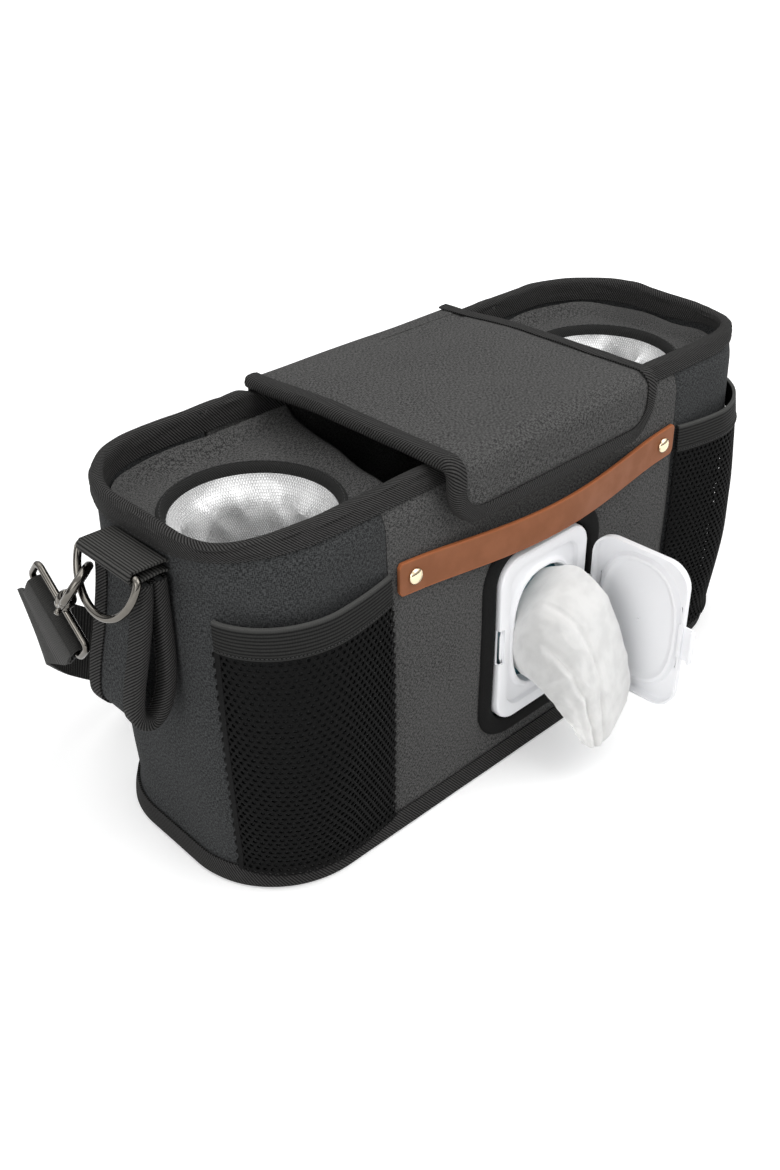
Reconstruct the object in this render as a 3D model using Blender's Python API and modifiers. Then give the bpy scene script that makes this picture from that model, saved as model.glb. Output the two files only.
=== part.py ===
"""Stroller organizer: a soft-sided bag with two cup holders, a padded lid and a wipes window.

The walls are sheets bent round one plan outline. The lid, the wipes dispenser, the rings and
the snap hooks are separate pieces set where they turn. Metres, +Z up, +X along the front and
-Y out of the front face. The origin is the middle of the base, on the ground.
"""
import math

import bmesh
import bpy
from mathutils import Matrix, Vector

MM = 0.001

# Clearances
GAP = 0.3 * MM
TAPE = 1.0 * MM

# Bag
RIM_LENGTH = 360 * MM
RIM_DEPTH = 132 * MM
RIM_CORNER = 47.5 * MM
BAG_HEIGHT = 181 * MM
WALL = 3.5 * MM
WALL_BULGE = 1.5 * MM
WALL_STEPS = 5
CORNER_STEPS = 6
SEAM_X = 101 * MM
RIM_BAND = 12 * MM
BASE_BAND = 10 * MM
BASE_FLARE = 3 * MM
BASE_PANEL = 3 * MM
BASE_BOARD = 2.2 * MM

# Cup holders
CUP_X = 121 * MM
CUP_BORE = 70 * MM
CUP_FACING_WIDTH = 7 * MM
CUP_PANEL = 2.4 * MM
CUP_PANEL_DROP = 20.5 * MM
CUP_PANEL_RISE = 7 * MM
CUP_PANEL_MARGIN = 8 * MM
CUP_HEM_RISE = 3.5 * MM
LINER_SKIN = 1.2 * MM
LINER_TAPER = 2 * MM
LINER_FLOOR = 9 * MM
LINER_ROUND = 6 * MM

# Dividers between the cups and the middle
DIVIDER = 2.5 * MM
DIVIDER_X = 66.5 * MM
DIVIDER_SLANT = 0.2

# Lid
LID_WIDTH = 140 * MM
LID_PAD = 3.8 * MM
LID_LIP = 26 * MM
LID_CORNER = 18 * MM
LID_BINDING_WIDTH = 9 * MM
LID_FOLD = 6.5 * MM
HINGE_STRIP = 1.4 * MM
HINGE_STRIP_DROP = 24 * MM

# Mesh pockets
POCKET_TOP = 146 * MM
POCKET_SAG = 4 * MM
POCKET_SKIN = 1.5 * MM
POCKET_BELLY = 8 * MM
POCKET_WRAP = 62
ELASTIC_HEIGHT = 14.5 * MM

# Leather strap and its rivets
LEATHER_LENGTH = 194 * MM
LEATHER_WIDTH = 16.5 * MM
LEATHER = 2 * MM
LEATHER_Z = 141 * MM
LEATHER_DROP = 5 * MM
LEATHER_BOW = 7 * MM
RIVET_X = 88 * MM
RIVET_HEAD = 8 * MM
RIVET_DOME = 2.4 * MM
RIVET_SHANK = 3 * MM
RIVET_WASHER = 1.2 * MM

# Wipes window and pack
WINDOW_X = -1 * MM
WINDOW_Z = 73.5 * MM
WINDOW_PLAY = 1 * MM
WINDOW_CORNER = 15 * MM
WINDOW_FACING = 8.5 * MM
PACK_SIZE = (104 * MM, 32 * MM, 142 * MM)
PACK_ROUND = 11 * MM
POCKET_LINING = 1.2 * MM
POCKET_LINING_HEIGHT = 112 * MM

# Wipes dispenser
FRAME_SIZE = (63.4 * MM, 95 * MM)
FRAME_CORNER = 13 * MM
FRAME_DEPTH = 9.4 * MM
FRAME_SKIN = 1.2 * MM
FRAME_FLANGE = 7 * MM
FRAME_STEP = 2.4 * MM
MOUTH_SIZE = (42 * MM, 66 * MM)
MOUTH_RIM = 1.6 * MM
LATCH_WIDTH = 19 * MM
LATCH_REACH = 7 * MM
LATCH_NOTCH = 3.6 * MM
DISPENSER_LID_SIZE = (53.5 * MM, 82 * MM)
DISPENSER_LID_CORNER = 12 * MM
DISPENSER_LID_DEPTH = 4 * MM
DISPENSER_LID_SKIN = 1.1 * MM
SEAL_SIZE = (46 * MM, 70 * MM)
DISPENSER_OPEN = 91
DISPENSER_STEPS = 5
HINGE_WEB = 32 * MM
HINGE_BEAD = 1.1 * MM
HINGE_REACH = 2.6 * MM

# Side hardware
WEBBING = 38 * MM
WEBBING_THICK = 1.6 * MM
TAB_Y = -3 * MM
BAR_OUT = 16.8 * MM
BAR_DROP = 15 * MM
RING_WIRE = 3.5 * MM
RING_INNER = 39.5 * MM
RING_LIMB = 2 * MM
RING_LEAN = 21
HANDLE_WIDTH = 36 * MM
HANDLE_Y = -4.8 * MM
HANDLE_THICK = 3.4 * MM
HANDLE_BINDING = 9 * MM
HANDLE_REACH = 18.5 * MM
HANDLE_DROP = 66.5 * MM
HOOK_WIRE = 4 * MM
GATE_WIRE = 3 * MM
GATE_PIVOT = 29
HOOK_SWEEP = (-4, -262)
HOOK_INNER = (15 * MM, 22 * MM)
HOOK_TILT = 48
HOOK_TURN = -60
HOOK_AT = 38
HOOK_PLAY = 1.8 * MM
BARREL = (8.4 * MM, 8 * MM)
STEM = 3.2 * MM
EYE_WIRE = 3.2 * MM
EYE_DEPTH = 13 * MM
SLIDER = (26 * MM, 46 * MM, 2.4 * MM)
SLIDER_BAR = 4 * MM

HALF_X = RIM_LENGTH / 2 - TAPE - GAP
HALF_Y = RIM_DEPTH / 2 - TAPE - GAP
CORNER = RIM_CORNER - TAPE - GAP
WALL_TOP = BAG_HEIGHT - TAPE - 3 * GAP
BAR_Z = BAG_HEIGHT - BAR_DROP
PANEL_Z = BAG_HEIGHT - CUP_PANEL_DROP

COLOURS = {
    "canvas": (0.055, 0.057, 0.060, 0.9, 0.0),
    "binding": (0.012, 0.012, 0.013, 0.8, 0.0),
    "mesh": (0.010, 0.010, 0.011, 0.9, 0.0),
    "webbing": (0.018, 0.018, 0.019, 0.8, 0.0),
    "lining": (0.010, 0.010, 0.011, 0.9, 0.0),
    "foil": (0.62, 0.63, 0.64, 0.3, 1.0),
    "board": (0.10, 0.10, 0.10, 0.7, 0.0),
    "leather": (0.33, 0.12, 0.05, 0.5, 0.0),
    "gold": (0.83, 0.68, 0.45, 0.25, 1.0),
    "gunmetal": (0.16, 0.15, 0.14, 0.2, 1.0),
    "plastic": (0.78, 0.79, 0.82, 0.35, 0.0),
    "film": (0.08, 0.22, 0.27, 0.35, 0.0),
    "wipe": (0.85, 0.85, 0.84, 0.9, 0.0),
}


def clear_scene():
    """Remove what the scene already holds."""
    for item in list(bpy.data.objects):
        bpy.data.objects.remove(item, do_unlink=True)


def make_collection(name):
    collection = bpy.data.collections.new(name)
    bpy.context.scene.collection.children.link(collection)
    return collection


def material_for(name, finish):
    red, green, blue, roughness, metallic = COLOURS[finish]
    material = bpy.data.materials.new(name)
    material.use_nodes = True
    shader = material.node_tree.nodes["Principled BSDF"]
    shader.inputs["Base Color"].default_value = (red, green, blue, 1)
    shader.inputs["Roughness"].default_value = roughness
    shader.inputs["Metallic"].default_value = metallic
    return material


def add_object(name, data, finish=None, collection=None):
    """Link an object, with a material of its own unless it is a cutter."""
    item = bpy.data.objects.new(name, data)
    if finish is None:
        CUTTERS.objects.link(item)
        item.hide_render = True
        item.display_type = "WIRE"
    else:
        (collection or PARTS).objects.link(item)
        data.materials.append(material_for(name, finish))
    return item


def mesh_from(bm, name):
    data = bpy.data.meshes.new(name)
    bm.to_mesh(data)
    bm.free()
    return data


def smooth(item, angle=40):
    item.data.shade_smooth()
    item.data.set_sharp_from_angle(angle=math.radians(angle))


def grid_mesh(name, point, across, along, closed=False):
    """Bend a grid onto a surface: point(u, v) with u and v from 0 to 1, facing u cross v."""
    bm = bmesh.new()
    bmesh.ops.create_grid(bm, x_segments=across, y_segments=along, size=0.5)
    for vertex in bm.verts:
        vertex.co = point(vertex.co.x + 0.5, vertex.co.y + 0.5)
    if closed:
        bmesh.ops.remove_doubles(bm, verts=bm.verts, dist=1e-6)
    return mesh_from(bm, name)


def solidify(item, thickness, offset=-1.0):
    modifier = item.modifiers.new("Solidify", "SOLIDIFY")
    modifier.thickness = thickness
    modifier.offset = offset
    modifier.use_even_offset = True
    modifier.use_quality_normals = True
    return modifier


def sheet(name, point, across, along, thickness, finish, closed=False, offset=-1.0):
    """A bent sheet of even thickness, whose outer face is the given surface."""
    item = add_object(name, grid_mesh(name, point, across, along, closed), finish)
    solidify(item, thickness, offset)
    smooth(item, 50)
    return item


def cut(item, cutter, operation="DIFFERENCE"):
    modifier = item.modifiers.new(operation.title(), "BOOLEAN")
    modifier.operation = operation
    modifier.solver = "EXACT"
    modifier.object = cutter
    return modifier


def bevel(item, width, segments=2, angle=40):
    modifier = item.modifiers.new("Bevel", "BEVEL")
    modifier.width = width
    modifier.segments = segments
    modifier.limit_method = "ANGLE"
    modifier.angle_limit = math.radians(angle)
    return modifier


def box(name, size, centre, finish=None):
    bm = bmesh.new()
    bmesh.ops.create_cube(bm, size=1)
    bmesh.ops.scale(bm, vec=Vector(size), verts=bm.verts)
    item = add_object(name, mesh_from(bm, name), finish)
    item.location = centre
    return item


def rod(name, radius, length, matrix, finish=None, segments=20):
    """A cylinder along the local Z of matrix, centred on its origin."""
    bm = bmesh.new()
    bmesh.ops.create_cone(bm, cap_ends=True, segments=segments, radius1=radius, radius2=radius,
                          depth=length)
    item = add_object(name, mesh_from(bm, name), finish)
    item.matrix_world = matrix
    return item


def turned(name, profile, steps, finish, closed_profile=False):
    """A turned shape from (radius, height) points that run down its outer side."""
    bm = bmesh.new()
    points = [bm.verts.new((radius, 0, height)) for radius, height in profile]
    for first, second in zip(points, points[1:]):
        bm.edges.new((first, second))
    if closed_profile:
        bm.edges.new((points[-1], points[0]))
    item = add_object(name, mesh_from(bm, name), finish)
    screw = item.modifiers.new("Screw", "SCREW")
    screw.steps = steps
    screw.render_steps = steps
    screw.use_merge_vertices = True
    screw.merge_threshold = 1e-5
    screw.use_smooth_shade = True
    return item


def wire(name, points, radius, finish, cyclic=False, resolution=2):
    """A bent wire through the given points, as a mesh with its caps welded."""
    curve = bpy.data.curves.new(name, "CURVE")
    curve.dimensions = "3D"
    curve.bevel_depth = radius
    curve.bevel_resolution = resolution
    curve.use_fill_caps = not cyclic
    spline = curve.splines.new("POLY")
    spline.points.add(len(points) - 1)
    for target, point in zip(spline.points, points):
        target.co = (*point, 1)
    spline.use_cyclic_u = cyclic
    guide = bpy.data.objects.new(name + "_guide", curve)
    CUTTERS.objects.link(guide)
    bpy.context.view_layer.update()
    evaluated = guide.evaluated_get(bpy.context.evaluated_depsgraph_get())
    bm = bmesh.new()
    bm.from_mesh(bpy.data.meshes.new_from_object(evaluated))
    bmesh.ops.remove_doubles(bm, verts=bm.verts, dist=1e-6)
    bmesh.ops.recalc_face_normals(bm, faces=bm.faces)
    bpy.data.objects.remove(guide, do_unlink=True)
    item = add_object(name, mesh_from(bm, name), finish)
    smooth(item, 60)
    return item


def set_origin(item, place):
    """Put an object's origin at a place on its hinge line, with its shape where it was."""
    item.data.transform(Matrix.Translation(-place))
    item.location = place


def ease(value):
    """Smooth step from 0 to 1."""
    value = min(max(value, 0), 1)
    return value * value * (3 - 2 * value)


def smooth_line(points, steps):
    """Catmull-Rom line through the given points."""
    points = [Vector(point) for point in points]
    padded = [2 * points[0] - points[1], *points, 2 * points[-1] - points[-2]]
    line = []
    for a, b, c, d in zip(padded, padded[1:], padded[2:], padded[3:]):
        for step in range(steps):
            t = step / steps
            line.append(0.5 * (2 * b + (c - a) * t + (2 * a - 5 * b + 4 * c - d) * t * t
                               + (3 * b - a - 3 * c + d) * t ** 3))
    line.append(points[-1])
    return line


# Walls

def wall_rows():
    """Heights at which the wall bends, from its foot to its top."""
    low, high = 1.6 * BASE_BAND, BAG_HEIGHT - RIM_BAND
    belly = [low + (high - low) * step / WALL_STEPS for step in range(WALL_STEPS + 1)]
    lean = WALL * BASE_FLARE / low
    return [TAPE + GAP + lean, BASE_BAND, *belly, WALL_TOP]


def wall_swell(height):
    """How far the wall stands out of the plan outline at a height."""
    low, high = 1.6 * BASE_BAND, BAG_HEIGHT - RIM_BAND
    if height <= low:
        return BASE_FLARE * (1 - height / low)
    step = (high - low) / WALL_STEPS
    index = min(int((height - low) / step), WALL_STEPS - 1)
    bends = [WALL_BULGE * math.sin(math.pi * (index + more) / WALL_STEPS) for more in (0, 1)]
    share = min((height - low) / step - index, 1)
    return bends[0] + (bends[1] - bends[0]) * share


def front_y(height):
    """Outer face of the front wall at a height."""
    return -HALF_Y - wall_swell(height)


def side_x(height):
    """Outer face of the end walls at a height, as a distance from the middle."""
    return HALF_X + wall_swell(height)


def corner_points(steps):
    """Plan path round the +X end, from the front seam to the back seam: place and normal."""
    straight = HALF_X - CORNER
    path = [(Vector((SEAM_X, -HALF_Y, 0)), Vector((0, -1, 0)))]
    for turn, centre_y in ((-90, CORNER - HALF_Y), (0, HALF_Y - CORNER)):
        centre = Vector((straight, centre_y, 0))
        for step in range(steps + 1):
            angle = math.radians(turn + 90 * step / steps)
            normal = Vector((math.cos(angle), math.sin(angle), 0))
            path.append((centre + CORNER * normal, normal))
    path.append((Vector((SEAM_X, HALF_Y, 0)), Vector((0, 1, 0))))
    return path


def full_outline(steps):
    """The whole plan outline, counter-clockwise from the front left, closed."""
    path = []
    for index in range(4):
        x_sign = (1, 1, -1, -1)[index]
        y_sign = (-1, 1, 1, -1)[index]
        centre = Vector((x_sign * (HALF_X - CORNER), y_sign * (HALF_Y - CORNER), 0))
        for step in range(steps + 1):
            angle = math.radians(-90 + 90 * index + 90 * step / steps)
            normal = Vector((math.cos(angle), math.sin(angle), 0))
            path.append((centre + CORNER * normal, normal))
    path.append(path[0])
    return path


def mirrored(path):
    """The same path on the -X side, still counter-clockwise."""
    flip = Vector((-1, 1, 1))
    return [(place * flip, normal * flip) for place, normal in reversed(path)]


def path_sheet(name, path, profile, thickness, finish, closed=False):
    """Sweep an open (offset, height) profile, listed upwards on the outer side, along a path."""
    def point(u, v):
        place, normal = path[round(u * (len(path) - 1))]
        offset, height = profile[round(v * (len(profile) - 1))]
        return place + normal * offset + Vector((0, 0, height))
    return sheet(name, point, len(path) - 1, len(profile) - 1, thickness, finish, closed)


def build_walls():
    profile = [(wall_swell(height), height) for height in wall_rows()]
    reach = SEAM_X - GAP / 2
    front = [(Vector((reach * share, -HALF_Y, 0)), Vector((0, -1, 0)))
             for share in (-1, -0.5, 0, 0.5, 1)]
    back = [(place * Vector((-1, -1, 1)), -normal) for place, normal in front]
    front_panel = path_sheet("front_panel", front, profile, WALL, "canvas")
    path_sheet("back_panel", back, profile, WALL, "canvas")
    end = corner_points(CORNER_STEPS)
    for place, _ in (end[0], end[-1]):
        place.x += GAP / 2
    path_sheet("right_end_panel", end, profile, WALL, "canvas")
    path_sheet("left_end_panel", mirrored(end), profile, WALL, "canvas")
    return front_panel


def channel_profile(swell_low, swell_high, low, high, opens_down):
    """Folded tape over a wall edge, from its outer leg round to its inner leg."""
    outer = TAPE + GAP
    inner = -WALL - GAP - TAPE
    round_over = 1 * MM
    if opens_down:
        return [(outer + swell_low, low), (outer + swell_high, high - round_over),
                (outer - round_over + swell_high, high), (inner + round_over + swell_high, high),
                (inner + swell_high, high - round_over), (inner + swell_low, low)]
    return [(inner + swell_high, high), (inner + swell_low, low), (outer + swell_low, low),
            (outer + swell_high, high)]


def build_bindings():
    outline = full_outline(CORNER_STEPS)
    low = BAG_HEIGHT - RIM_BAND
    rim = channel_profile(wall_swell(low), 0, low, BAG_HEIGHT, True)
    path_sheet("rim_binding", outline, rim, TAPE, "binding", closed=True)
    foot = channel_profile(wall_swell(0), wall_swell(BASE_BAND), 0, BASE_BAND, False)
    path_sheet("base_binding", outline, foot, TAPE, "binding", closed=True)


def base_plate(name, thickness, bottom, finish):
    """A flat plate inside the inner leg of the base binding."""
    top = bottom + thickness
    share = top / BASE_BAND
    leg = (1 - share) * wall_swell(0) + share * wall_swell(BASE_BAND)
    inset = WALL + GAP + TAPE + GAP - leg
    bm = bmesh.new()
    outline = full_outline(CORNER_STEPS)[:-1]
    face = bm.faces.new([bm.verts.new(place - normal * inset + Vector((0, 0, top)))
                         for place, normal in outline])
    face.normal_update()
    item = add_object(name, mesh_from(bm, name), finish)
    solidify(item, thickness)
    return item


def build_base():
    base_plate("base_panel", BASE_PANEL, 0, "canvas")
    base_plate("base_board", BASE_BOARD, BASE_PANEL + GAP, "board")


# Cup holders and dividers

def divider_x(y):
    """Distance of a divider's cup side from the middle, at a depth in the bag."""
    return DIVIDER_X - DIVIDER_SLANT * y


def panel_outline():
    """Half sizes and corner of the cup panels' outline, clear of the walls below their slope."""
    inset = WALL + GAP + 0.8 * CUP_PANEL
    return HALF_X - inset, HALF_Y - inset, CORNER - inset


def panel_sag(x, y):
    """How far below the rim's attachment a cup panel hangs, from 0 to 1."""
    half_x, half_y, corner = panel_outline()
    over_x, over_y = abs(x) - (half_x - corner), abs(y) - (half_y - corner)
    outside = math.hypot(max(over_x, 0), max(over_y, 0)) + min(max(over_x, over_y), 0)
    wall_share = ease((corner - outside) / CUP_PANEL_MARGIN)
    ring = CUP_X - CUP_BORE / 2 - CUP_FACING_WIDTH - 1 * MM
    hem = divider_x(y)
    hem_share = ease((ring - abs(x)) / (ring - hem + 1 * MM)) * CUP_HEM_RISE / CUP_PANEL_RISE
    return wall_share * (1 - hem_share)


def panel_height(x, y):
    return PANEL_Z + CUP_PANEL_RISE * (1 - panel_sag(x, y))


def build_cup_panel(side, sign):
    half_x, half_y, corner = panel_outline()
    round_rows, flat_rows = 9, 5

    def point(u, v):
        row = round(u * (round_rows + flat_rows))
        turn = math.radians(90 * min(row / round_rows, 1))
        edge = half_y - corner + corner * math.sin(turn)
        y = edge * (2 * v - 1)
        if row <= round_rows:
            x = half_x - corner + corner * math.cos(turn)
        else:
            start = half_x - corner
            x = start + (divider_x(y) - start) * (row - round_rows) / flat_rows
        return Vector((sign * x, y, panel_height(x, y)))

    def facing_up(u, v):
        return point(u, v if sign < 0 else 1 - v)

    panel = sheet(side + "_cup_panel", facing_up, round_rows + flat_rows, 10, CUP_PANEL, "canvas")
    hole = CUP_BORE / 2 + TAPE + GAP
    centre = Matrix.Translation((sign * CUP_X, 0, PANEL_Z))
    depth = 4 * (CUP_PANEL + CUP_PANEL_RISE)
    cut(panel, rod(side + "_cup_cutter", hole, depth, centre, segments=32))
    return panel


def build_cup_facing(side, sign):
    """Folded tape round the hole of a cup panel."""
    bore = CUP_BORE / 2
    reach = bore + CUP_FACING_WIDTH
    top = PANEL_Z + GAP + TAPE
    bottom = PANEL_Z - CUP_PANEL - GAP - TAPE
    profile = [(reach, top), (reach, top - TAPE), (bore + TAPE, top - TAPE),
               (bore + TAPE, bottom + TAPE), (reach, bottom + TAPE), (reach, bottom),
               (bore, bottom), (bore, top)]
    facing = turned(side + "_cup_facing", profile, 28, "binding", closed_profile=True)
    facing.location = (sign * CUP_X, 0, 0)


def build_cup_liner(side, sign):
    """Insulated cup hung inside the facing."""
    radius = CUP_BORE / 2 - GAP
    foot = radius - LINER_TAPER
    top = PANEL_Z + TAPE
    skin = LINER_SKIN
    low, curve = LINER_FLOOR, LINER_ROUND
    profile = [(radius - skin, top), (radius, top), (foot, low + curve),
               (foot - 0.3 * curve, low + 0.3 * curve), (foot - curve, low), (0, low),
               (0, low + skin), (foot - curve, low + skin),
               (foot - skin - 0.3 * curve, low + skin + 0.3 * curve),
               (foot - skin, low + curve + skin)]
    liner = turned(side + "_cup_liner", profile, 24, "foil", closed_profile=True)
    liner.location = (sign * CUP_X, 0, 0)


def build_divider(side, sign):
    low = BASE_PANEL + GAP + BASE_BOARD + GAP
    reach = HALF_Y - WALL - 2 * GAP - TAPE

    def point(u, v):
        y = reach * (2 * u - 1) * sign
        x = divider_x(y)
        top = panel_height(x, y) - CUP_PANEL - 6 * GAP
        return Vector((sign * x, y, low + (top - low) * v))

    sheet(side + "_divider", point, 10, 3, DIVIDER, "lining")


def build_cups():
    for side, sign in (("left", -1), ("right", 1)):
        build_cup_panel(side, sign)
        build_cup_facing(side, sign)
        build_cup_liner(side, sign)
        build_divider(side, sign)


# Lid

LID_TOP = BAG_HEIGHT + 2 * GAP + TAPE + LID_PAD
LID_FRONT = -RIM_DEPTH / 2 - 2 * GAP - TAPE - LID_PAD
LID_HINGE_Y = RIM_DEPTH / 2 + HINGE_STRIP + 3 * GAP
LID_HINGE_Z = BAG_HEIGHT + GAP


def lid_line():
    """Side view of the lid's outer face, from the lip's edge over the top to the hinge."""
    fold = LID_FOLD
    lip_foot = LID_TOP - LID_LIP - LID_PAD
    corner = [(LID_FRONT + fold * (1 - math.cos(math.radians(turn))),
               LID_TOP - fold * (1 - math.sin(math.radians(turn)))) for turn in (0, 30, 60, 90)]
    down = [(LID_FRONT, lip_foot), (LID_FRONT, lip_foot + 0.4 * LID_LIP)]
    top = [(LID_FRONT + fold + (LID_HINGE_Y - GAP - LID_FRONT - fold) * share, LID_TOP)
           for share in (0.25, 0.5, 0.75, 1)]
    return [Vector((0, y, z)) for y, z in (*down, *corner, *top)]


def lid_half_width(distance):
    """Half width of the lid at a distance from the lip's edge, with round front corners."""
    half = LID_WIDTH / 2 - TAPE - GAP
    if distance >= LID_CORNER:
        return half
    return half - LID_CORNER + math.sqrt(LID_CORNER ** 2 - (LID_CORNER - distance) ** 2)


def line_lengths(line):
    lengths = [0]
    for first, second in zip(line, line[1:]):
        lengths.append(lengths[-1] + (second - first).length)
    return lengths


def lid_rows():
    """Side-view points of the lid with extra rows in the round corners."""
    line = lid_line()
    lengths = line_lengths(line)
    stations = [LID_CORNER * share for share in (0, 0.08, 0.3, 0.6)]
    stations += [length for length in lengths if length > 0.7 * LID_CORNER]
    rows = []
    for station in stations:
        index = max(i for i, length in enumerate(lengths) if length <= station + 1e-9)
        index = min(index, len(line) - 2)
        share = (station - lengths[index]) / (lengths[index + 1] - lengths[index])
        place = line[index].lerp(line[index + 1], share)
        rows.append((place, station))
    return rows


def row_normals(rows):
    """Outward direction of each row in the side view."""
    normals = []
    for index in range(len(rows)):
        before = rows[max(index - 1, 0)][0]
        after = rows[min(index + 1, len(rows) - 1)][0]
        run = (after - before).normalized()
        normals.append(Vector((1, 0, 0)).cross(run))
    return normals


def build_lid():
    rows = lid_rows()
    normals = row_normals(rows)

    def point(u, v):
        place, station = rows[round(v * (len(rows) - 1))]
        return place + Vector((lid_half_width(station) * (2 * u - 1), 0, 0))

    hinge = Vector((0, LID_HINGE_Y, LID_HINGE_Z))
    set_origin(sheet("lid_flap", point, 8, len(rows) - 1, LID_PAD, "canvas"), hinge)

    edge = lid_edge(rows, normals)
    reach = LID_BINDING_WIDTH - TAPE - GAP
    lift = TAPE + GAP
    depth = LID_PAD + GAP + TAPE

    def binding_point(u, v):
        place, out, normal = edge[round(u * (len(edge) - 1))]
        spread = (reach, -lift, -lift, reach)[round(3 * v)]
        height = (-depth, -depth, lift, lift)[round(3 * v)]
        return place - out * spread + normal * height

    set_origin(sheet("lid_binding", binding_point, len(edge) - 1, 3, TAPE, "binding"), hinge)
    build_hinge_strip()


def lid_edge(rows, normals):
    """The lid's free edge, from the hinge round the lip and back: place, outward, normal."""
    right = []
    for (place, station), normal in zip(rows, normals):
        run = normal.cross(Vector((1, 0, 0)))
        if station < LID_CORNER:
            lean = math.acos((LID_CORNER - station) / LID_CORNER)
            out = Vector((math.sin(lean), 0, 0)) - run * math.cos(lean)
        else:
            out = Vector((1, 0, 0))
        right.append((place + Vector((lid_half_width(station), 0, 0)), out, normal))
    flip = Vector((-1, 1, 1))
    left = [(place * flip, out * flip, normal) for place, out, normal in right]
    return list(reversed(left)) + right


def build_hinge_strip():
    """The part of the lid's cloth that is sewn down the outside of the back."""
    width = LID_WIDTH - 2 * TAPE
    top = BAG_HEIGHT - GAP
    size = (width, HINGE_STRIP, HINGE_STRIP_DROP)
    strip = box("lid_hinge_strip", size,
                (0, RIM_DEPTH / 2 + GAP + HINGE_STRIP / 2, top - HINGE_STRIP_DROP / 2), "canvas")
    bevel(strip, 0.4 * MM, 1)


# Mesh pockets

def pocket_path(steps):
    """Plan path of the right pocket, from the front seam round the corner."""
    straight = HALF_X - CORNER
    path = []
    for share in (0, 0.25, 0.5, 0.75):
        x = SEAM_X + GAP + (straight - SEAM_X) * share
        path.append((Vector((x, -HALF_Y, 0)), Vector((0, -1, 0))))
    centre = Vector((straight, CORNER - HALF_Y, 0))
    for step in range(steps + 1):
        angle = math.radians(-90 + POCKET_WRAP * step / steps)
        normal = Vector((math.cos(angle), math.sin(angle), 0))
        path.append((centre + CORNER * normal, normal))
    return path


def pocket_surface(path, sign):
    """Surface of a pocket that stands off the wall: share along the path, height."""
    lengths = line_lengths([place for place, _ in path])
    width = lengths[-1]

    def place_at(index, height):
        place, normal = path[index]
        share = lengths[index] / width
        full = math.sin(math.pi * share) ** 0.8
        rise = (height - BASE_BAND) / (POCKET_TOP - BASE_BAND)
        belly = POCKET_BELLY * full * (0.25 + 0.75 * math.sin(math.pi * (0.12 + 0.62 * rise)))
        off = wall_swell(height) + GAP + POCKET_SKIN + belly
        spot = place + normal * off + Vector((0, 0, height))
        return Vector((sign * spot.x, spot.y, spot.z)), full

    return place_at


def build_pockets():
    path = pocket_path(6)
    last = len(path) - 1
    for side, sign in (("left", -1), ("right", 1)):
        surface = pocket_surface(path, sign)

        def at(u, low, high, v, sign=sign, surface=surface):
            index = round((u if sign > 0 else 1 - u) * last)
            _, full = surface(index, POCKET_TOP)
            sag = POCKET_SAG * full
            dip = sag * (v if low < ELASTIC_HEIGHT else 1)
            return surface(index, low + (high - low) * v - dip)[0]

        foot = BASE_BAND + GAP
        joint = POCKET_TOP - ELASTIC_HEIGHT
        sheet(side + "_mesh_pocket", lambda u, v, at=at: at(u, foot, joint - GAP, v),
              last, 6, POCKET_SKIN, "mesh")
        sheet(side + "_pocket_elastic", lambda u, v, at=at: at(u, joint, POCKET_TOP, v),
              last, 2, POCKET_SKIN, "binding")


# Leather strap

def leather_line(share):
    """Height and outer face of the leather strap, share -1 to 1 along its length."""
    bow = math.cos(math.pi / 2 * min(abs(share) / 0.86, 1)) ** 1.5
    height = LEATHER_Z - LEATHER_DROP * (1 - share * share)
    return height, -LEATHER - GAP - LEATHER_BOW * bow


def build_leather(front_panel):
    half = LEATHER_WIDTH / 2

    def point(u, v):
        share = 2 * u - 1
        height, off = leather_line(share)
        end = 1 - 0.03 * ease((abs(share) - 0.97) / 0.03) * abs(2 * v - 1)
        return Vector((LEATHER_LENGTH / 2 * share * end, front_y(LEATHER_Z) + off,
                       height + half * (2 * v - 1)))

    strap = sheet("leather_strap", point, 20, 2, LEATHER, "leather")
    height, _ = leather_line(RIVET_X / (LEATHER_LENGTH / 2))
    wall = front_y(LEATHER_Z)
    for side, sign in (("left", -1), ("right", 1)):
        turn = Matrix.Translation((sign * RIVET_X, wall, height)) @ Matrix.Rotation(
            math.radians(90), 4, "X")
        drill = rod(side + "_rivet_cutter", RIVET_SHANK / 2 + GAP, 24 * MM, turn, segments=16)
        cut(strap, drill)
        cut(front_panel, drill)
        head, shank = RIVET_HEAD / 2, RIVET_SHANK / 2
        outer = LEATHER + 2 * GAP
        inner = -WALL - GAP
        profile = [(0, outer + RIVET_DOME), (0.5 * head, outer + 0.85 * RIVET_DOME),
                   (0.85 * head, outer + 0.5 * RIVET_DOME), (head, outer), (shank, outer),
                   (shank, inner), (head, inner), (head, inner - RIVET_WASHER),
                   (0, inner - RIVET_WASHER)]
        rivet = turned(side + "_rivet", profile, 18, "gold")
        rivet.matrix_world = turn
    return strap


# Wipes window, pack and dispenser

def round_rect(width, height, corner, steps, middles=False):
    """Closed outline of a rounded rectangle, counter-clockwise: place and outward direction."""
    outline = []
    for index in range(4):
        x = (1, -1, -1, 1)[index] * (width / 2 - corner)
        z = (1, 1, -1, -1)[index] * (height / 2 - corner)
        for step in range(steps + 1):
            angle = math.radians(90 * index + 90 * step / steps)
            out = Vector((math.cos(angle), 0, math.sin(angle)))
            outline.append((Vector((x, 0, z)) + corner * out, out))
        if middles:
            out = Vector(((0, 0, 1), (-1, 0, 0), (0, 0, -1), (1, 0, 0))[index])
            outline.append((Vector((out.x * width / 2, 0, out.z * height / 2)), out))
    outline.append(outline[0])
    return outline


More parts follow.
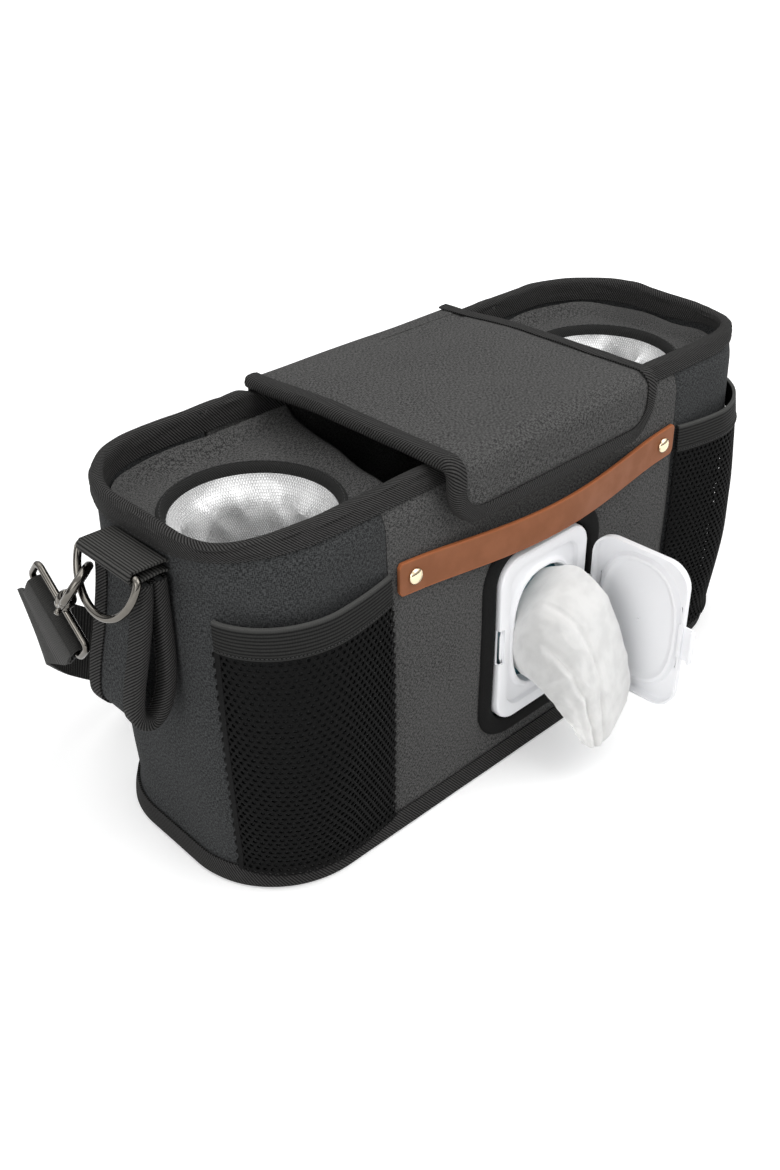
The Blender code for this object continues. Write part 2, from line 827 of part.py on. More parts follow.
def oval(width, height, outline):
    """An oval with one point for each point of an outline, in the same directions."""
    points = []
    for place, _ in outline:
        angle = math.atan2(place.z / height, place.x / width)
        power = 0.8
        c, s = math.cos(angle), math.sin(angle)
        points.append(Vector((math.copysign(abs(c) ** power, c) * width / 2, 0,
                              math.copysign(abs(s) ** power, s) * height / 2)))
    return points


def build_window(front_panel):
    margin = 2 * (WINDOW_PLAY + TAPE + GAP)
    width, height = FRAME_SIZE[0] + margin, FRAME_SIZE[1] + margin
    outline = round_rect(width, height, WINDOW_CORNER, 5, middles=True)
    centre = Vector((WINDOW_X, 0, WINDOW_Z))
    bm = bmesh.new()
    through = 4 * WALL
    face = bm.faces.new([bm.verts.new(place) for place, _ in outline[:-1]])
    pulled = bmesh.ops.extrude_face_region(bm, geom=[face])["geom"]
    corners = [item for item in pulled if isinstance(item, bmesh.types.BMVert)]
    bmesh.ops.translate(bm, vec=(0, 2 * through, 0), verts=corners)
    bmesh.ops.recalc_face_normals(bm, faces=bm.faces)
    cutter = add_object("window_cutter", mesh_from(bm, "window_cutter"))
    cutter.location = centre + Vector((0, -HALF_Y - through, 0))
    cut(front_panel, cutter)

    reach, lap = WINDOW_FACING, TAPE + GAP
    spreads = (reach, -lap, -lap, reach)
    depths = (-lap, -lap, WALL + lap, WALL + lap)

    def point(u, v):
        place, out = outline[round(u * (len(outline) - 1))]
        spread, depth = spreads[round(3 * v)], depths[round(3 * v)]
        spot = centre + place + out * spread
        return Vector((spot.x, front_y(spot.z) + depth, spot.z))

    sheet("window_facing", point, len(outline) - 1, 3, TAPE, "binding", closed=True)


PACK_FRONT = -HALF_Y + WALL + TAPE + 4 * GAP
PACK_FLOOR = BASE_PANEL + BASE_BOARD + 3 * GAP


def build_pack():
    size = PACK_SIZE
    centre = (WINDOW_X, PACK_FRONT + size[1] / 2, PACK_FLOOR + size[2] / 2)
    pack = box("wipes_pack", size, centre, "film")
    bevel(pack, PACK_ROUND, 3)
    half = size[0] / 2 + POCKET_LINING + 1 * MM
    front = -HALF_Y + WALL + TAPE + 2 * GAP
    back = PACK_FRONT + size[1] + POCKET_LINING + 2 * GAP
    turn = 6 * MM
    plan = [(-half, front), (-half, back - turn), (-half + 0.3 * turn, back - 0.3 * turn),
            (-half + turn, back), (0, back), (half - turn, back),
            (half - 0.3 * turn, back - 0.3 * turn), (half, back - turn), (half, front)]

    def point(u, v):
        x, y = plan[round((1 - u) * (len(plan) - 1))]
        return Vector((x + WINDOW_X, y, PACK_FLOOR + POCKET_LINING_HEIGHT * v))

    sheet("wipes_pocket", point, len(plan) - 1, 2, POCKET_LINING, "lining")


def nested_sheet(name, loops, thickness, finish, matrix):
    """A moulded shell through closed loops of points, from its back edge to its mouth."""
    def point(u, v):
        loop = loops[round(v * (len(loops) - 1))]
        return matrix @ loop[round(u * (len(loop) - 1))]
    return sheet(name, point, len(loops[0]) - 1, len(loops) - 1, thickness, finish, closed=True)


def offset_loop(outline, inset, depth):
    return [place - out * inset + Vector((0, depth, 0)) for place, out in outline]


def lifted(points, depth):
    return [point + Vector((0, depth, 0)) for point in points]


FRAME_BACK = PACK_FRONT - GAP
FRAME_FACE = FRAME_BACK - FRAME_DEPTH
HINGE_X = WINDOW_X + FRAME_SIZE[0] / 2 + HINGE_REACH / 2
HINGE_Y = FRAME_FACE - 1.6 * MM


def build_dispenser_frame():
    outline = round_rect(*FRAME_SIZE, FRAME_CORNER, DISPENSER_STEPS)
    ring = MOUTH_RIM + FRAME_SKIN
    face, back = FRAME_FACE, FRAME_BACK
    floor = face + FRAME_STEP
    inner_w, inner_h = FRAME_SIZE[0] - 2 * FRAME_FLANGE, FRAME_SIZE[1] - 2 * FRAME_FLANGE
    recess = round_rect(inner_w, inner_h, FRAME_CORNER - 0.5 * FRAME_FLANGE, DISPENSER_STEPS)
    step = offset_loop(recess, FRAME_STEP / 2, floor)
    mouth_out = oval(MOUTH_SIZE[0] + 2 * ring, MOUTH_SIZE[1] + 2 * ring, outline)
    mouth_in = oval(*MOUTH_SIZE, outline)
    loops = [offset_loop(outline, 0, back), offset_loop(outline, 0, face + 1 * MM),
             offset_loop(outline, 1 * MM, face), offset_loop(recess, 0, face), step,
             lifted(mouth_out, floor), lifted(oval(MOUTH_SIZE[0] + ring, MOUTH_SIZE[1] + ring,
                                                   outline), face + 0.6 * MM),
             lifted(mouth_in, face + 0.6 * MM), lifted(mouth_in, back - FRAME_SKIN)]
    centre = Matrix.Translation((WINDOW_X, 0, WINDOW_Z))
    frame = nested_sheet("wipes_frame", loops, FRAME_SKIN, "plastic", centre)
    left = WINDOW_X - FRAME_SIZE[0] / 2
    notch = box("latch_notch_cutter", (2 * LATCH_NOTCH, 5.2 * MM, LATCH_WIDTH + 1 * MM),
                (left, face, WINDOW_Z))
    cut(frame, notch)
    lug_end = HINGE_X - HINGE_BEAD - GAP
    lug_start = WINDOW_X + FRAME_SIZE[0] / 2 - 2 * MM
    lug = box("frame_lug_cutter", (lug_end - lug_start, 1 * MM, HINGE_WEB),
              ((lug_end + lug_start) / 2, face + 0.7 * MM, WINDOW_Z))
    cut(frame, lug, "UNION")
    return frame


def build_dispenser_lid():
    """The flip lid, drawn closed over the frame and then turned open about its hinge."""
    width, height = DISPENSER_LID_SIZE
    outline = round_rect(width, height, DISPENSER_LID_CORNER, DISPENSER_STEPS)
    depth, skin = DISPENSER_LID_DEPTH, DISPENSER_LID_SKIN
    centre_x = -HINGE_REACH - width / 2
    seal_out = oval(*SEAL_SIZE, outline)
    seal_in = oval(SEAL_SIZE[0] - 4 * MM, SEAL_SIZE[1] - 4 * MM, outline)
    middle = oval(SEAL_SIZE[0] * 0.1, SEAL_SIZE[1] * 0.1, outline)
    back = -depth
    loops = [offset_loop(outline, 0, 0), offset_loop(outline, 0, back + 1.2 * MM),
             offset_loop(outline, 1.2 * MM, back), offset_loop(outline, 3 * MM, back),
             lifted(oval(SEAL_SIZE[0] + 5 * MM, SEAL_SIZE[1] + 5 * MM, outline), back),
             lifted(seal_out, back + 1.6 * MM), lifted(seal_in, back + 1.6 * MM),
             lifted(oval(SEAL_SIZE[0] - 8 * MM, SEAL_SIZE[1] - 8 * MM, outline), back),
             lifted(middle, back)]
    name = "wipes_lid"
    bm = bmesh.new()
    bm.from_mesh(grid_mesh(name, lambda u, v: loops[round(v * (len(loops) - 1))][
        round((1 - u) * (len(outline) - 1))], len(outline) - 1, len(loops) - 1, closed=True))
    rim = [edge for edge in bm.edges if edge.is_boundary and
           max(vertex.co.x ** 2 + vertex.co.z ** 2 for vertex in edge.verts) < (10 * MM) ** 2]
    bmesh.ops.contextual_create(bm, geom=rim)
    bmesh.ops.recalc_face_normals(bm, faces=bm.faces)
    if sum((face.normal.y * face.calc_area() for face in bm.faces)) > 0:
        bmesh.ops.reverse_faces(bm, faces=bm.faces)
    bmesh.ops.translate(bm, vec=(centre_x, 0, 0), verts=bm.verts)
    lid = add_object(name, mesh_from(bm, name), "plastic")
    solidify(lid, skin)
    smooth(lid, 50)
    far = centre_x - width / 2
    web_y = -skin / 2
    latch = box("latch_cutter", (LATCH_REACH + 2 * MM, skin, LATCH_WIDTH),
                (far - LATCH_REACH / 2 + 1 * MM, back + 1.9 * MM, 0))
    hook = box("latch_hook_cutter", (1.4 * MM, 3.4 * MM, LATCH_WIDTH),
               (far - LATCH_REACH + 0.7 * MM, back + 3 * MM, 0))
    web = box("hinge_web_cutter", (HINGE_REACH + 1.5 * MM, 0.8 * MM, HINGE_WEB - 2 * MM),
              (-(HINGE_REACH - 1.5 * MM) / 2 - 0.75 * MM, web_y, 0))
    bead = rod("hinge_bead_cutter", HINGE_BEAD, HINGE_WEB - 2 * MM,
               Matrix.Translation((0, web_y, 0)), segments=12)
    pivot = Matrix.Translation((HINGE_X, HINGE_Y - web_y, WINDOW_Z)) @ Matrix.Rotation(
        math.radians(DISPENSER_OPEN), 4, "Z")
    for piece in (latch, hook, web, bead):
        piece.matrix_world = pivot @ Matrix.Translation((0, -web_y, 0)) @ piece.matrix_basis
        cut(lid, piece, "UNION")
    lid.data.transform(Matrix.Translation((0, -web_y, 0)))
    lid.matrix_world = pivot
    return lid


def build_wipe():
    """A wipe pulled through the mouth, drooping in soft folds."""
    mouth = FRAME_FACE
    spine = [(-2, 5.4, 93.3), (-2, -6, 97.3), (-1, -19, 92), (1, -30, 76), (3, -37, 54), (4, -38, 34),
             (3, -35, 15)]
    spine = [Vector((x * MM, mouth + y * MM + 2 * MM, z * MM)) for x, y, z in spine]
    widths = [12, 17, 21, 23, 22, 18, 11]
    line = smooth_line(spine, 2)
    spread = smooth_line([Vector((width * MM, 0, 0)) for width in widths], 2)
    last = len(line) - 1

    def point(u, v):
        index = round(v * last)
        place, half = line[index], spread[index].x
        side = 2 * u - 1
        fold = 3.2 * MM * math.cos(2.5 * math.pi * side) * ease(v * 4) - 5 * MM * side * side
        run = (line[min(index + 1, last)] - line[max(index - 1, 0)]).normalized()
        normal = Vector((1, 0, 0)).cross(run)
        return place + Vector((half * side, 0, 0)) - normal * fold

    sheet("wipe_sheet", point, 9, last, 1.6 * MM, "wipe", offset=0)


# Side hardware, built for the -X end and mirrored for the +X end

def flipped(point, sign):
    return Vector((-sign * point.x, point.y, point.z))


def ribbon(name, line, half_width, thickness, finish, sign, widths=None):
    """A strap along a line of points, half_width each way along widths, by default Y."""
    last = len(line) - 1
    widths = widths or [Vector((0, 1, 0))] * len(line)

    def point(u, v):
        index = round(u * last)
        spot = line[index] + widths[index] * half_width * (2 * v - 1)
        return flipped(spot, sign)

    return sheet(name, point, last, 1, thickness, finish, offset=0)


def wall_side():
    """Outer face of the -X end wall where the straps hang."""
    return -side_x(BAG_HEIGHT / 2)


def bar_x():
    return -HALF_X - BAR_OUT


def tab_line():
    """Side view of the webbing tab: out from under the rim, round the ring's bar and back."""
    root = -side_x(BAR_Z) - GAP - WEBBING_THICK / 2
    turn = RING_WIRE / 2 + 1.6 * GAP + WEBBING_THICK / 2
    wrap = [Vector((bar_x() - turn * math.sin(math.radians(angle)), TAB_Y,
                    BAR_Z + turn * math.cos(math.radians(angle))))
            for angle in (0, 45, 90, 135, 180)]
    top = BAG_HEIGHT - RIM_BAND - GAP - WEBBING_THICK / 2
    start = [Vector((root, TAB_Y, top - 1.2 * MM)), Vector((root - 2 * MM, TAB_Y, top))]
    low = BAR_Z - turn
    end = [Vector((root - 4 * MM, TAB_Y, low + 0.6 * MM)), Vector((root, TAB_Y, low - 0.4 * MM))]
    return [*start, *wrap, *end]


def handle_line():
    """Side view of the stroller strap: down the wall, round the bottom and up outside."""
    inner = wall_side() - GAP - TAPE - 2 * GAP - HANDLE_THICK / 2
    top = BAR_Z - RING_WIRE / 2 - 2 * GAP - WEBBING_THICK - 1.6 * MM
    shares = [(0, 0), (0.005, 0.301), (0.027, 0.571), (0.119, 0.782), (0.351, 0.94), (0.692, 1),
              (1, 0.917), (0.919, 0.722), (0.703, 0.496), (0.508, 0.271), (0.389, 0.09),
              (0.368, 0)]
    points = [Vector((inner - out * HANDLE_REACH, HANDLE_Y, top - drop * HANDLE_DROP))
              for out, drop in shares]
    return smooth_line(points, 2)


def strap_binding(name, line, sign, edge):
    """Folded tape along one long edge of the stroller strap; edge is -1 or 1 along Y."""
    last = len(line) - 1
    half = HANDLE_WIDTH / 2 - TAPE - GAP
    lift = HANDLE_THICK / 2 + 2 * GAP + TAPE
    inset = HANDLE_BINDING - TAPE - GAP
    spreads = (-inset, TAPE + GAP, TAPE + GAP, -inset)
    lifts = (lift, lift, -lift, -lift)

    def point(u, v):
        index = round(u * last)
        run = (line[min(index + 1, last)] - line[max(index - 1, 0)]).normalized()
        normal = Vector((0, 1, 0)).cross(run)
        row = round((v if edge * sign > 0 else 1 - v) * 3)
        spot = line[index] + normal * lifts[row] + Vector((0, edge * (half + spreads[row]), 0))
        return flipped(spot, sign)

    return sheet(name, point, last, 3, TAPE, "binding")


def ring_frame():
    """Axes of the hanging ring: origin on its bar, local X along the bar, local Y downwards."""
    lean = math.radians(RING_LEAN)
    down = Vector((-math.sin(lean), 0, -math.cos(lean)))
    along = Vector((0, 1, 0))
    matrix = Matrix.Identity(4)
    for column, axis in enumerate((along, down, along.cross(down))):
        for row in range(3):
            matrix[row][column] = axis[row]
    matrix.translation = Vector((bar_x(), TAB_Y, BAR_Z))
    return matrix


def ring_point(angle):
    """Centre line of the ring's round part; 0 at its back limb, 90 at its foot."""
    radius = RING_INNER / 2 + RING_WIRE / 2
    turn = math.radians(angle)
    return ring_frame() @ Vector((radius * math.cos(turn), RING_LIMB + radius * math.sin(turn), 0))


def build_ring(side, sign):
    radius = RING_INNER / 2 + RING_WIRE / 2
    frame = ring_frame()
    corner = 2.5 * MM
    points = [frame @ Vector((x, y, 0)) for x, y in
              ((-radius + corner, 0), (0, 0), (radius - corner, 0), (radius, corner))]
    points += [ring_point(angle) for angle in range(0, 181, 15)]
    points.append(frame @ Vector((-radius, corner, 0)))
    ring = wire(side + "_d_ring", [flipped(p, sign) for p in points], RING_WIRE / 2, "gunmetal",
                cyclic=True)
    set_origin(ring, flipped(frame.translation, sign))


def hook_frame():
    """Axes of the snap hook: origin at its loop's centre, local Z along it to the strap."""
    tilt, turn = math.radians(HOOK_TILT), math.radians(HOOK_TURN)
    along = Vector((0, math.cos(tilt), -math.sin(tilt)))
    flat = Vector((0, math.sin(tilt), math.cos(tilt)))
    face = (Vector((1, 0, 0)) * math.cos(turn) + flat * math.sin(turn)).normalized()
    across = along.cross(face)
    matrix = Matrix.Identity(4)
    for column, axis in enumerate((across, face, along)):
        for row in range(3):
            matrix[row][column] = axis[row]
    hang = HOOK_INNER[1] / 2 - RING_WIRE / 2 - HOOK_PLAY
    matrix.translation = ring_point(HOOK_AT) + along * hang
    return matrix


def mirror_matrix(matrix, sign):
    """A rotation and place for a symmetric turned piece on the chosen end."""
    if sign < 0:
        return matrix
    flip = Matrix.Diagonal((-1, 1, 1, 1))
    return flip @ matrix @ Matrix.Diagonal((-1, 1, 1, 1))


def hook_arc(first, last, step):
    """Centre line of the hook's loop; 0 at its base, positive towards the open side."""
    half_w = HOOK_INNER[0] / 2 + HOOK_WIRE / 2
    half_l = HOOK_INNER[1] / 2 + HOOK_WIRE / 2
    frame = hook_frame()
    count = round(abs(last - first) / step)
    angles = [math.radians(first + (last - first) * index / count) for index in range(count + 1)]
    return [frame @ Vector((half_w * math.sin(angle), 0, half_l * math.cos(angle)))
            for angle in angles]


def build_hook(side, sign):
    """The hook's body, its sprung gate and the swivel eye that carries the strap."""
    frame = hook_frame()
    half_l = HOOK_INNER[1] / 2 + HOOK_WIRE / 2
    hook = wire(side + "_hook", [flipped(p, sign) for p in hook_arc(*HOOK_SWEEP, 17)],
                HOOK_WIRE / 2, "gunmetal")
    set_origin(hook, flipped(ring_frame().translation, sign))
    barrel_width, barrel_length = BARREL
    barrel_at = half_l + barrel_length / 2 - HOOK_WIRE / 2 + 0.6 * MM
    place = mirror_matrix(frame @ Matrix.Translation((0, 0, barrel_at)), sign)
    barrel = rod(side + "_barrel_cutter", barrel_width / 2, barrel_length, place)
    drill = rod(side + "_stem_cutter", STEM / 2 + GAP, 3 * barrel_length, place, segments=16)
    cut(hook, barrel, "UNION")
    cut(hook, drill)

    gate = hook_arc(90, GATE_PIVOT, 11)
    build_gate(side, sign, gate)
    build_eye(side, sign, frame, half_l - HOOK_WIRE / 2 + 0.6 * MM, barrel_length)


def build_gate(side, sign, arc):
    """The sprung gate that closes the hook's loop, turning at the end beside the barrel."""
    gate = wire(side + "_hook_gate", [flipped(p, sign) for p in arc], GATE_WIRE / 2, "gunmetal")
    set_origin(gate, flipped(arc[-1], sign))


def eye_bar():
    """Place of the eye's far bar on the hook's axis."""
    half_l = HOOK_INNER[1] / 2 + HOOK_WIRE / 2
    near = half_l - HOOK_WIRE / 2 + 0.6 * MM + BARREL[1] + GAP + EYE_WIRE / 2
    return near + EYE_DEPTH


def build_eye(side, sign, frame, barrel_low, barrel_length):
    half = WEBBING / 2 + 1 * MM + EYE_WIRE / 2
    far = eye_bar()
    near = far - EYE_DEPTH
    corner = 2.5 * MM
    turn = strap_turn(frame)
    local = [(-half + corner, near), (0, near), (half - corner, near), (half, near + corner),
             (half, far - corner), (half - corner, far), (0, far), (-half + corner, far),
             (-half, far - corner), (-half, near + corner)]
    points = [frame.translation + frame.col[2].to_3d() * z + turn * x for x, z in local]
    eye = wire(side + "_swivel_eye", [flipped(p, sign) for p in points], EYE_WIRE / 2, "gunmetal",
               cyclic=True)
    set_origin(eye, flipped(frame.translation + frame.col[2].to_3d() * near, sign))
    low = barrel_low - 3 * MM
    head = mirror_matrix(frame @ Matrix.Translation((0, 0, low + 0.6 * MM)), sign)
    stem = mirror_matrix(frame @ Matrix.Translation((0, 0, (low + near) / 2)), sign)
    cut(eye, rod(side + "_stem", STEM / 2, near - low, stem, segments=16), "UNION")
    cut(eye, rod(side + "_stem_head", STEM / 2 + 1.1 * MM, 1.2 * MM, head, segments=16), "UNION")
    return eye


def strap_turn(frame):
    """Direction of the eye's bars: square to the hook and in the plane of the end wall."""
    along = frame.col[2].to_3d()
    return Vector((1, 0, 0)).cross(along).normalized() * -1


def build_side(side, sign):
    half = WEBBING / 2
    ribbon(side + "_webbing_tab", tab_line(), half, WEBBING_THICK, "webbing", sign)
    line = handle_line()
    core = HANDLE_WIDTH / 2 - TAPE - GAP
    ribbon(side + "_handle_strap", line, core, HANDLE_THICK, "canvas", sign)
    strap_binding(side + "_handle_binding_front", line, sign, -1)
    strap_binding(side + "_handle_binding_back", line, sign, 1)
    build_ring(side, sign)
    build_hook(side, sign)


# Shoulder strap

STRAP_ROUTE = [
    # x, y, z of the strap's middle and the lean of its width, from the left eye to the middle
    ((-199, 64, 103), (0, 0.6, 0.8)),
    ((-196.5, 77, 95.5), (0, 0.42, 0.91)),
    ((-187.5, 90, 83), (0.10, 0.28, 0.95)),
    ((-168, 99, 62), (0.30, 0.20, 0.93)),
    ((-143, 108, 40), (0.36, 0.10, 0.93)),
    ((-112, 116, 25), (0.18, 0.04, 0.98)),
    ((-80, 118, 21), (0.04, 0, 1)),
    ((-52, 104, 21), (0, 0, 1)),
    ((-32, 96.5, 23), (0, 0, 1)),
]
STRAP_MIDDLE = (0, 96, 23.6)
SLIDER_STRETCH = 26 * MM


def strap_half():
    """Centre line and width directions of the strap from the left eye to the middle."""
    frame = hook_frame()
    along = frame.col[2].to_3d()
    across = strap_turn(frame)
    bar = frame.translation + along * eye_bar()
    side = along.cross(across).normalized()
    if side.x > 0:
        side = -side
    turn = EYE_WIRE / 2 + 1.5 * GAP + WEBBING_THICK / 2
    near = WEBBING_THICK / 2 + GAP / 2
    inner = [bar + along * 17 * MM - side * near, bar + along * 6 * MM - side * (turn - 0.5 * MM)]
    wrap = [bar - side * turn * math.cos(math.radians(angle))
            - along * turn * math.sin(math.radians(angle)) for angle in (0, 45, 90, 135, 180)]
    outer = [bar + along * 6 * MM + side * (turn - 0.5 * MM), bar + along * 15 * MM + side * near]
    points = [(point, across) for point in (*inner, *wrap, *outer)]
    sign = 1 if across.z > 0 else -1
    for place, width in STRAP_ROUTE:
        points.append((Vector(place) * MM, Vector(width).normalized() * sign))
    return points


def build_shoulder_strap():
    half = strap_half()
    places = [place for place, _ in half]
    widths = [width for _, width in half]
    middle = Vector(STRAP_MIDDLE) * MM
    flip = Vector((-1, 1, 1))
    start = middle - Vector((SLIDER_STRETCH, 0, 0))
    left = smooth_line([*places, start], 2)
    leans = [turn.normalized() for turn in smooth_line([*widths, widths[-1]], 2)]
    count = round(SLIDER_STRETCH / (3 * MM))
    through = [start + Vector((SLIDER_STRETCH * 2 * step / (2 * count), 0, 0))
               for step in range(1, 2 * count)]
    line = left + through + [place * flip for place in reversed(left)]
    turns = leans + [leans[-1]] * len(through) + [turn * flip for turn in reversed(leans)]
    line = [weave(place, middle) for place in line]
    return ribbon("shoulder_strap", line, WEBBING / 2, WEBBING_THICK, "webbing", -1, turns)


def weave(place, middle):
    """Lead the strap under the slider's ends and over its middle bar."""
    away = abs(place.x - middle.x)
    lift = 3.3 * MM
    reach = 9 * MM
    if away < reach:
        shift = -lift * math.cos(math.pi * away / reach)
    else:
        shift = lift * (1 - ease((away - reach) / (14 * MM)))
    return place + Vector((0, shift, 0))


def build_slider():
    """Three-bar slider on the strap."""
    middle = Vector(STRAP_MIDDLE) * MM
    width, height, thick = SLIDER
    slider = box("strap_slider", (width, thick, height), middle, "gunmetal")
    slot = (width - SLIDER_BAR) / 2 - 3.2 * MM
    for index, sign in enumerate((-1, 1)):
        place = middle + Vector((sign * (SLIDER_BAR + slot) / 2, 0, 0))
        cut(slider, box(f"slider_slot_cutter_{index}", (slot, 3 * thick, WEBBING + 2 * MM), place))
    return slider


def build_all():
    front_panel = build_walls()
    build_bindings()
    build_base()
    build_cups()
    build_lid()
    build_pockets()
    build_leather(front_panel)
    build_window(front_panel)
    build_pack()
    build_dispenser_frame()
    build_dispenser_lid()
    build_wipe()
    for side, sign in (("left", -1), ("right", 1)):
        build_side(side, sign)
    build_shoulder_strap()
    build_slider()


clear_scene()
PARTS = make_collection("stroller_organizer")
CUTTERS = make_collection("cutters")
build_all()
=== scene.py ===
"""Looks of the stroller organizer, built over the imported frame.

Each sub-assembly is a class that reads its place from the frame and builds finished pieces over
the plain solids: cloth panels with seams and creases, ribbed tape, spacer mesh, foil, leather,
moulded plastic and metal. Lengths are in metres.
"""
import logging
import math
from collections.abc import Callable, Iterator
from contextlib import contextmanager
from dataclasses import dataclass, field
from enum import Enum

import bmesh
import bpy
from mathutils import Matrix, Vector, noise

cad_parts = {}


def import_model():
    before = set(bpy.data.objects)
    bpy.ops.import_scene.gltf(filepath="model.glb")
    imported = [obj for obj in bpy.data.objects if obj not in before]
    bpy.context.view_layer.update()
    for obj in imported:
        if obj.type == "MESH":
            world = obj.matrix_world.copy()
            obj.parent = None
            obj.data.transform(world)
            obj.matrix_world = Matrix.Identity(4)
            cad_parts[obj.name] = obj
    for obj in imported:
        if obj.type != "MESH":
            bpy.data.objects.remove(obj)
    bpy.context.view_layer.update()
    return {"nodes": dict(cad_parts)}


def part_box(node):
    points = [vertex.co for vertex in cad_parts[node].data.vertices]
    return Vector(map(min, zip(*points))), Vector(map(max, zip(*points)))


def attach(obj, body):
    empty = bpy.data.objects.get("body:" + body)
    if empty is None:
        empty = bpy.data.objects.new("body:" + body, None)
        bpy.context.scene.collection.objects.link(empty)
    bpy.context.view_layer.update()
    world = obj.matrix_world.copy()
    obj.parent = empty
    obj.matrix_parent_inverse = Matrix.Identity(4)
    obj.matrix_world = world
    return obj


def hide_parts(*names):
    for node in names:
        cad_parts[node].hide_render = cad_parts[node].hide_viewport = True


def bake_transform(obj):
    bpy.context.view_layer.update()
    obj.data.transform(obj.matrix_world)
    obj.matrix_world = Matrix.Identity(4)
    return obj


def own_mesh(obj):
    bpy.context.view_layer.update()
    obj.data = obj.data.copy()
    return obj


LOG = logging.getLogger("stroller_organizer")
MM = 0.001
GAP = 0.3 * MM
TAPE = 1.0 * MM
WALL = 3.5 * MM
WEBBING = 38 * MM
WEBBING_THICK = 1.6 * MM
WINDOW_LAP = 8.5 * MM
WINDOW_CORNER = 15 * MM

Surface = Callable[[float, float], Vector]
Edge = tuple[Vector, Vector]


class End(Enum):
    """The two ends of the bag, with the sign of X there."""

    LEFT = -1
    RIGHT = 1

    @property
    def side(self) -> str:
        """Name of the end, as the nodes use it."""
        return self.name.lower()

    def flip(self, point: Vector) -> Vector:
        """Carry a point that was worked out for the left end to this end."""
        return Vector((-self.value * point.x, point.y, point.z))


def ease(value: float) -> float:
    """Smooth step of a share that is cut to 0 to 1."""
    value = min(max(value, 0.0), 1.0)
    return value * value * (3 - 2 * value)


def ripple(x: float, y: float, size: float, seed: float = 0.0) -> float:
    """Smooth noise from -1 to 1 whose bumps are about size across."""
    return noise.noise(Vector((x / size, y / size, seed)))


def ridge(x: float, y: float, size: float, seed: float = 0.0) -> float:
    """Noise with sharp crests, from 0 to 1, for creases."""
    return 1 - min(1.0, 2.2 * abs(ripple(x, y, size, seed)))


def smooth_line(points: list[Vector], steps: int) -> list[Vector]:
    """Catmull-Rom line through points.

    Args:
        points: Places that the line passes through.
        steps: Stretches between neighbouring places.

    Returns:
        The points of the line.
    """
    padded = [2 * points[0] - points[1], *points, 2 * points[-1] - points[-2]]
    line = []
    for a, b, c, d in zip(padded, padded[1:], padded[2:], padded[3:]):
        for step in range(steps):
            t = step / steps
            line.append(0.5 * (2 * b + (c - a) * t + (2 * a - 5 * b + 4 * c - d) * t * t
                               + (3 * b - a - 3 * c + d) * t ** 3))
    line.append(points[-1].copy())
    return line


def line_lengths(line: list[Vector]) -> list[float]:
    """Distance of each point of a line from its start.

    Args:
        line: Points of a line.

    Returns:
        One distance for each point.
    """
    lengths = [0.0]
    for first, second in zip(line, line[1:]):
        lengths.append(lengths[-1] + (second - first).length)
    return lengths


def even_line(line: list[Vector], count: int) -> list[Vector]:
    """The same line with evenly spaced points.

    Args:
        line: Points of a line.
        count: Stretches wanted.

    Returns:
        count + 1 points along the line.
    """
    lengths = line_lengths(line)
    result, index = [], 0
    for step in range(count + 1):
        target = lengths[-1] * step / count
        while index < len(line) - 2 and lengths[index + 1] < target:
            index += 1
        span = max(lengths[index + 1] - lengths[index], 1e-12)
        result.append(line[index].lerp(line[index + 1], (target - lengths[index]) / span))
    return result


def section(points: list[tuple[float, float]], steps: int, count: int) -> list[Vector]:
    """Smooth, evenly spaced section through flat points.

    Args:
        points: Pairs that it passes through.
        steps: Stretches between neighbouring pairs.
        count: Stretches wanted.

    Returns:
        count + 1 points in the XY plane.
    """
    return even_line(smooth_line([Vector((x, y, 0)) for x, y in points], steps), count)


def sample(line: list[Vector], share: float) -> Vector:
    """Point at a share of an evenly spaced line.

    Args:
        line: Evenly spaced line.
        share: Share of its length.

    Returns:
        The point.
    """
    place = min(max(share, 0.0), 1.0) * (len(line) - 1)
    index = min(int(place), len(line) - 2)
    return line[index].lerp(line[index + 1], place - index)


def run_at(line: list[Vector], share: float) -> Vector:
    """Direction of an evenly spaced line at a share of it.

    Args:
        line: Evenly spaced line.
        share: Share of its length.

    Returns:
        The unit direction.
    """
    step = 1 / (len(line) - 1)
    return (sample(line, share + step) - sample(line, share - step)).normalized()


# Pieces


def add_piece(name: str, mesh: bpy.types.Mesh) -> bpy.types.Object:
    """Link a mesh to the scene as an object.

    Args:
        name: Name of the object.
        mesh: Its mesh.

    Returns:
        The object.
    """
    piece = bpy.data.objects.new(name, mesh)
    bpy.context.scene.collection.objects.link(piece)
    return piece


def from_bmesh(name: str, bm: bmesh.types.BMesh) -> bpy.types.Object:
    """Turn a bmesh into an object and free it.

    Args:
        name: Name of the object.
        bm: Its mesh.

    Returns:
        The object.
    """
    mesh = bpy.data.meshes.new(name)
    bm.to_mesh(mesh)
    bm.free()
    return add_piece(name, mesh)


@contextmanager
def editing(piece: bpy.types.Object) -> Iterator[bmesh.types.BMesh]:
    """Open an object's mesh for changes and write it back with its faces turned outwards.

    Args:
        piece: Object to change.

    Yields:
        Its mesh.
    """
    bm = bmesh.new()
    bm.from_mesh(piece.data)
    yield bm
    bmesh.ops.recalc_face_normals(bm, faces=bm.faces)
    bm.to_mesh(piece.data)
    bm.free()


